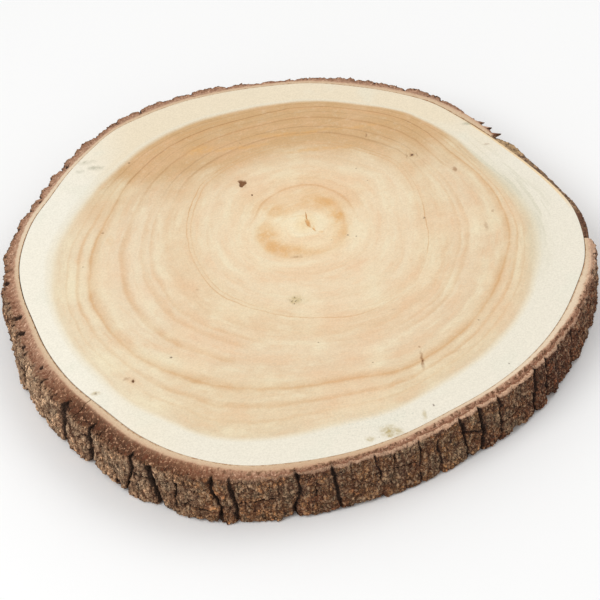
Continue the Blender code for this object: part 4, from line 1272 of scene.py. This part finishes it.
def rough_bark(fine_grain, granules):
    """The thick bark: sawn ledge, torn slope and the rough outer face with its furrows."""
    material, nodes, shader = new_material("rough_bark", 0.9)
    calc, times, between, band = nodes.calc, nodes.times, nodes.between, nodes.band
    noise, coat = nodes.noise, nodes.coat
    place = nodes.place()
    section = nodes.mark("section")
    around = nodes.mark("round")
    hollow = nodes.mark("hollow")
    on_lip = nodes.mark("lip")
    torn = calc("MULTIPLY_ADD", nodes.swing(place, 420.0, 3.0, 0.7), 0.9, section)
    hidden = band(around, *HIDDEN_SIDE)
    torn = calc("SUBTRACT", torn, times(hidden, between(section, 2.0, 2.4, 0.0, 0.35)))
    colour = nodes.ramp(torn, BARK_SECTION, 6.0)

    # The outer face: its tint with painted light and shade round the slice, grey and rusty patches,
    # and the light and dark of its grains, partly their own tone and partly painted shade and highlight.
    outer = band(section, 2.7, 3.05, 4.9, 5.4)
    tints_and_light = nodes.ramp(around, BARK_TINTS_AND_LIGHT, 360.0)
    colour = nodes.mix(times(outer, 0.85), colour, tints_and_light)
    patches = noise(place, 80.0, 4.0, 0.62)
    # No grey patches on the right side, which is red-brown and painted in shade.
    not_red_shaded = calc("MULTIPLY_ADD", band(around, *RED_SHADED_SIDE), -0.85, 1.0)
    colour = coat(colour, GREY_BARK, outer, between(patches, 0.49, 0.56, 0.0, 0.72), not_red_shaded)
    colour = coat(colour, RUST, outer, between(patches, 0.44, 0.37, 0.0, 0.62))
    weathered_and_lit = band(around, *WEATHERED_AND_LIT_SIDE)
    colour = coat(colour, FADED_BARK, weathered_and_lit, outer, 0.38)
    kinds = {"grains": nodes.group(granules, place=nodes.place(0.0, (1.0, 1.0, 0.8)), size=0.0012),
             "grit": nodes.group(granules, place=nodes.place(30.0), size=0.0008),
             "crumbs": nodes.group(granules, place=place, size=0.0030)}
    light = between(nodes.mark("scale"), 0.2, 0.8, 1.02, 1.85, smooth=False)
    for kind, value, top, darkest, lightest in GRAIN_TONE_AND_SHADE:
        light = times(light, between(kinds[kind][value], 0.0, top, darkest, lightest, smooth=False))
    # Painted light on the left-front side, which faces the key lamp.
    light = times(light, between(weathered_and_lit, 0.0, 1.0, 1.0, 1.25))
    light = times(light, between(band(around, *PAINTED_LIGHT_SIDE), 0.0, 1.0, 1.0, 1.35))
    light = calc("SUBTRACT", calc("MINIMUM", light, LIGHTEST), 1.0)
    colour = nodes.mix(1.0, colour, calc("MULTIPLY_ADD", light, outer, 1.0), "MULTIPLY")
    upright = noise(nodes.place(0.0, (620.0, 620.0, 170.0)), 1.0, 3.0, 0.65)
    strokes = between(upright, 0.54, 0.61, 0.0, 0.75)
    colour = coat(colour, DRY_STROKE, weathered_and_lit, strokes, outer)
    # Dark upright streaks: painted shade of fine crevices.
    colour = coat(colour, CREVICE_SHADE, outer, between(upright, 0.47, 0.37, 0.0, 0.88))
    pale_grains = between(kinds["grains"]["Number"], 0.80, 0.92, 0.0, 0.62)
    colour = coat(colour, PALE_GRAIN, outer, pale_grains)
    flecks = between(noise(place, 1050.0, 2.0, 0.6), 0.57, 0.63)
    colour = coat(colour, WARM_FLECK, flecks, outer, 0.60)

    # The torn slope: dark and pale fibres, and moss where it meets the ledge.
    slope = band(section, 1.7, 2.2, 2.90, 3.10)
    lights = nodes.ramp(around, [(angle, (v, v, v)) for angle, v in SLOPE_LIGHT], 360.0)
    colour = nodes.mix(slope, colour, lights, "MULTIPLY")
    specks = noise(place, 640.0, 3.0, 0.7)
    fibres = noise(nodes.vector(times(around, 2.2), times(section, 1.8), 0.0), 1.0, 4.0, 0.68)
    dark_share = between(hidden, 0.0, 1.0, 0.62, 0.30)
    colour = coat(colour, DARK_FIBRE, between(fibres, 0.52, 0.40), slope, dark_share)
    pale_share = between(fibres, 0.44, 0.60, 0.15, 0.85)
    colour = coat(colour, PALE_FIBRE, between(specks, 0.54, 0.61), slope, pale_share)
    brown = times(band(around, *BROWN_SIDE), slope)
    colour = nodes.mix(brown, colour, paint(*BROWN_SLOPE), "MULTIPLY")
    on_ledge = between(section, 1.0, 1.2)
    fair = between(torn, 1.9, 1.6, 0.0, 0.55)
    colour = coat(colour, FAIR_LEDGE, band(around, *FAIR_SIDE), on_ledge, fair)
    border = band(torn, 1.75, 1.95, 2.2, 2.45)
    clumps = between(noise(place, 430.0, 3.0), 0.52, 0.58)
    colour = coat(colour, MOSS, border, clumps, between(around, 236.0, 262.0, 0.3, 0.8))
    worn = between(torn, 2.2, 1.9, 0.0, 0.32)
    colour = coat(colour, WORN_LEDGE, band(around, *WORN_SIDE), on_ledge, worn)
    fresh = between(torn, 2.0, 1.7, 0.0, 0.5)
    colour = coat(colour, FRESH_LEDGE, band(around, *FRESH_SIDE), on_ledge, fresh)
    fresh = times(between(around, 340.0, 350.0), between(section, 1.6, 1.9))
    colour = coat(colour, FRESH_SLOPE, fresh, between(torn, 3.2, 2.7, 0.0, 0.7))

    # Furrows and pits, red-brown on their flanks and almost black inside, partly their own dark
    # colour and partly painted shade; and the pale lip, with painted shade below it and a painted
    # highlight on its edge.
    colour = coat(colour, RED_FLANK, between(hollow, 0.10, 0.45, 0.0, 0.45), outer)
    # Painted shade in the hollows, over their own dark colour.
    colour = coat(colour, FURROW_DARK_AND_SHADE, between(hollow, 0.32, 0.90, 0.0, 0.92))
    lip = times(on_lip, between(specks, 0.44, 0.56, 0.0, 0.45))
    colour = coat(colour, LIP_PALE, lip, between(section, 2.72, 2.84))
    below = times(between(torn, 2.15, 2.35), between(section, 2.86, 2.78))
    colour = coat(colour, LIP_SHADE, on_lip, below, 0.55)
    # A painted highlight along the outer edge of the lip.
    edge = times(between(torn, 2.78, 2.90), between(section, 3.05, 3.0, 0.0, 0.6))
    colour = coat(colour, LIP_HIGHLIGHT, on_lip, edge)
    grain = nodes.group(fine_grain, place=place, size=0.0008, strength=0.12)
    nodes.feed(shader["Base Color"], nodes.mix(1.0, colour, grain["Tint"], "MULTIPLY"))
    height = calc("MULTIPLY_ADD", kinds["grains"]["Height"], 1.2, grain["Height"])
    height = calc("MULTIPLY_ADD", kinds["grit"]["Height"], 0.6, height)
    height = times(height, between(section, 1.9, 3.1, 0.08, 1.0, smooth=False))
    add_bump(nodes, shader, height, 1.0, 0.0006)
    return material


def torn_bast(fine_grain, granules):
    """The strip of inner bark where the outer bark has come away: grey-brown, tan in one place."""
    material, nodes, shader = new_material("torn_bast", 0.85)
    between, coat = nodes.between, nodes.coat
    place = nodes.place()
    around = nodes.mark("round")
    fibres = nodes.noise(nodes.place(0.0, (420.0, 420.0, 120.0)), 1.0, 3.0, 0.65)
    colour = nodes.mix(between(fibres, 0.38, 0.62), paint(*DARK_BAST), paint(*PALE_BAST))
    colour = coat(colour, TAN_BAST, nodes.band(around, *TAN_PATCH), 0.55)
    from_front = nodes.calc("PINGPONG", around, 180.0)
    colour = coat(colour, RED_BAST, between(from_front, 9.0, 2.0), 0.75)
    colour = coat(colour, INNER_FACE, between(nodes.mark("section"), 0.98, 0.9))
    grains = nodes.group(granules, place=place, size=0.0012)
    light = between(grains["Number"], 0.0, 1.0, 0.6, 1.4, smooth=False)
    colour = nodes.mix(1.0, colour, light, "MULTIPLY")
    # The hollows darkened: partly their own dark colour and partly painted shade.
    colour = coat(colour, BAST_DARK_AND_SHADE, between(nodes.mark("hollow"), 0.3, 0.9, 0.0, 0.7))
    grain = nodes.group(fine_grain, place=place, size=0.0008, strength=0.10)
    nodes.feed(shader["Base Color"], nodes.mix(1.0, colour, grain["Tint"], "MULTIPLY"))
    add_bump(nodes, shader, nodes.calc("ADD", grains["Height"], grain["Height"]), 0.7, 0.0004)
    return material


def floor_material():
    material, nodes, shader = new_material("pale_floor", 0.9)
    colour = nodes.mix(nodes.noise(nodes.place(), 3.0), paint(252, 252, 252), paint(248, 248, 247))
    nodes.feed(shader["Base Color"], colour)
    return material


# The two lamps: name, place in metres, width in metres, power in watts.
LAMPS = [("key", (-0.9, -0.7, 1.5), 1.2, 12.0), ("fill", (1.0, 0.5, 1.6), 1.4, 6.8)]
SKY_STRENGTH = 0.655
FLOOR_SIZE = 8.0


def studio():
    """A pale floor, and soft light from all round and above."""
    floor = add_primitive(bpy.ops.mesh.primitive_plane_add, "floor", size=FLOOR_SIZE)
    floor.data.materials.append(floor_material())
    world = bpy.data.worlds.new("soft_room")
    bpy.context.scene.world = world
    world.use_nodes = True
    sky = world.node_tree.nodes["Background"]
    sky.inputs["Color"].default_value = (1.0, 1.0, 1.0, 1.0)
    sky.inputs["Strength"].default_value = SKY_STRENGTH
    for name, place, size, power in LAMPS:
        light = bpy.data.lights.new(name, "AREA")
        light.shape = "DISK"
        light.size = size
        light.energy = power
        lamp = bpy.data.objects.new(name, light)
        bpy.context.scene.collection.objects.link(lamp)
        lamp.location = place
        lamp.rotation_euler = (-Vector(place)).to_track_quat("-Z", "Y").to_euler()
    bpy.context.scene.view_settings.view_transform = "Standard"


CAMERA_AIM = (0.0, -0.032, 0.033)
CAMERA_ELEVATION = 43.0
CAMERA_TURN = 6.5
CAMERA_DISTANCE = 1.372
CAMERA_ANGLE = 13.0


def camera():
    lens = bpy.data.cameras.new("camera")
    lens.angle = math.radians(CAMERA_ANGLE)
    lens.clip_start = 0.01
    holder = bpy.data.objects.new("camera", lens)
    bpy.context.scene.collection.objects.link(holder)
    rise = math.radians(CAMERA_ELEVATION)
    back = Vector((0.0, -math.cos(rise), math.sin(rise)))
    right = Vector((1.0, 0.0, 0.0))
    up = back.cross(right)
    turn = math.radians(CAMERA_TURN)
    turned_right = math.cos(turn) * right - math.sin(turn) * up
    turned_up = math.sin(turn) * right + math.cos(turn) * up
    facing = Matrix((turned_right, turned_up, back)).transposed().to_4x4()
    holder.matrix_world = Matrix.Translation(Vector(CAMERA_AIM) + back * CAMERA_DISTANCE) @ facing
    bpy.context.scene.camera = holder


def dress(piece, material, node):
    piece.data.materials.clear()
    piece.data.materials.append(material)
    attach(piece, "root")
    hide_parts(node)


growth_line = growth_line_group()
spot = spot_group()
fine_grain = fine_grain_group()
granules = granule_group()
wood = sawn_wood(growth_line, spot, fine_grain)
bark = rough_bark(fine_grain, granules)
bast = torn_bast(fine_grain, granules)

dress(wood_piece("sawn_disc"), wood, "wood_disc")
dress(bark_piece("front_bark", RADIAL_CRACK + CRACK_HALF_WIDTH, 360.0 + BREAK_RIGHT - BREAK_HALF_WIDTH,
                 curve_through(FRONT_THICKNESS), FRONT_STEP), bark, "bark_front")
dress(bark_piece("back_bark", BREAK_UPPER_RIGHT + BREAK_HALF_WIDTH, RADIAL_CRACK - CRACK_HALF_WIDTH,
                 curve_through(BACK_THICKNESS), BACK_STEP, teeth=torn_teeth), bark, "bark_back")
dress(bark_piece("inner_bark_strip", BREAK_RIGHT + BREAK_HALF_WIDTH, BREAK_UPPER_RIGHT - BREAK_HALF_WIDTH,
                 curve_through(STRIP_THICKNESS), FRONT_STEP,
                 ledge=lambda angle: np.full_like(angle, 0.5),
                 drop=lambda angle: np.full_like(angle, 0.9),
                 gap=lambda angle: np.full_like(angle, HELD_GAP),
                 lift=lambda angle: np.full_like(angle, 0.5), lip=np.zeros_like, share=0.3),
      bast, "bark_strip")

studio()
camera()
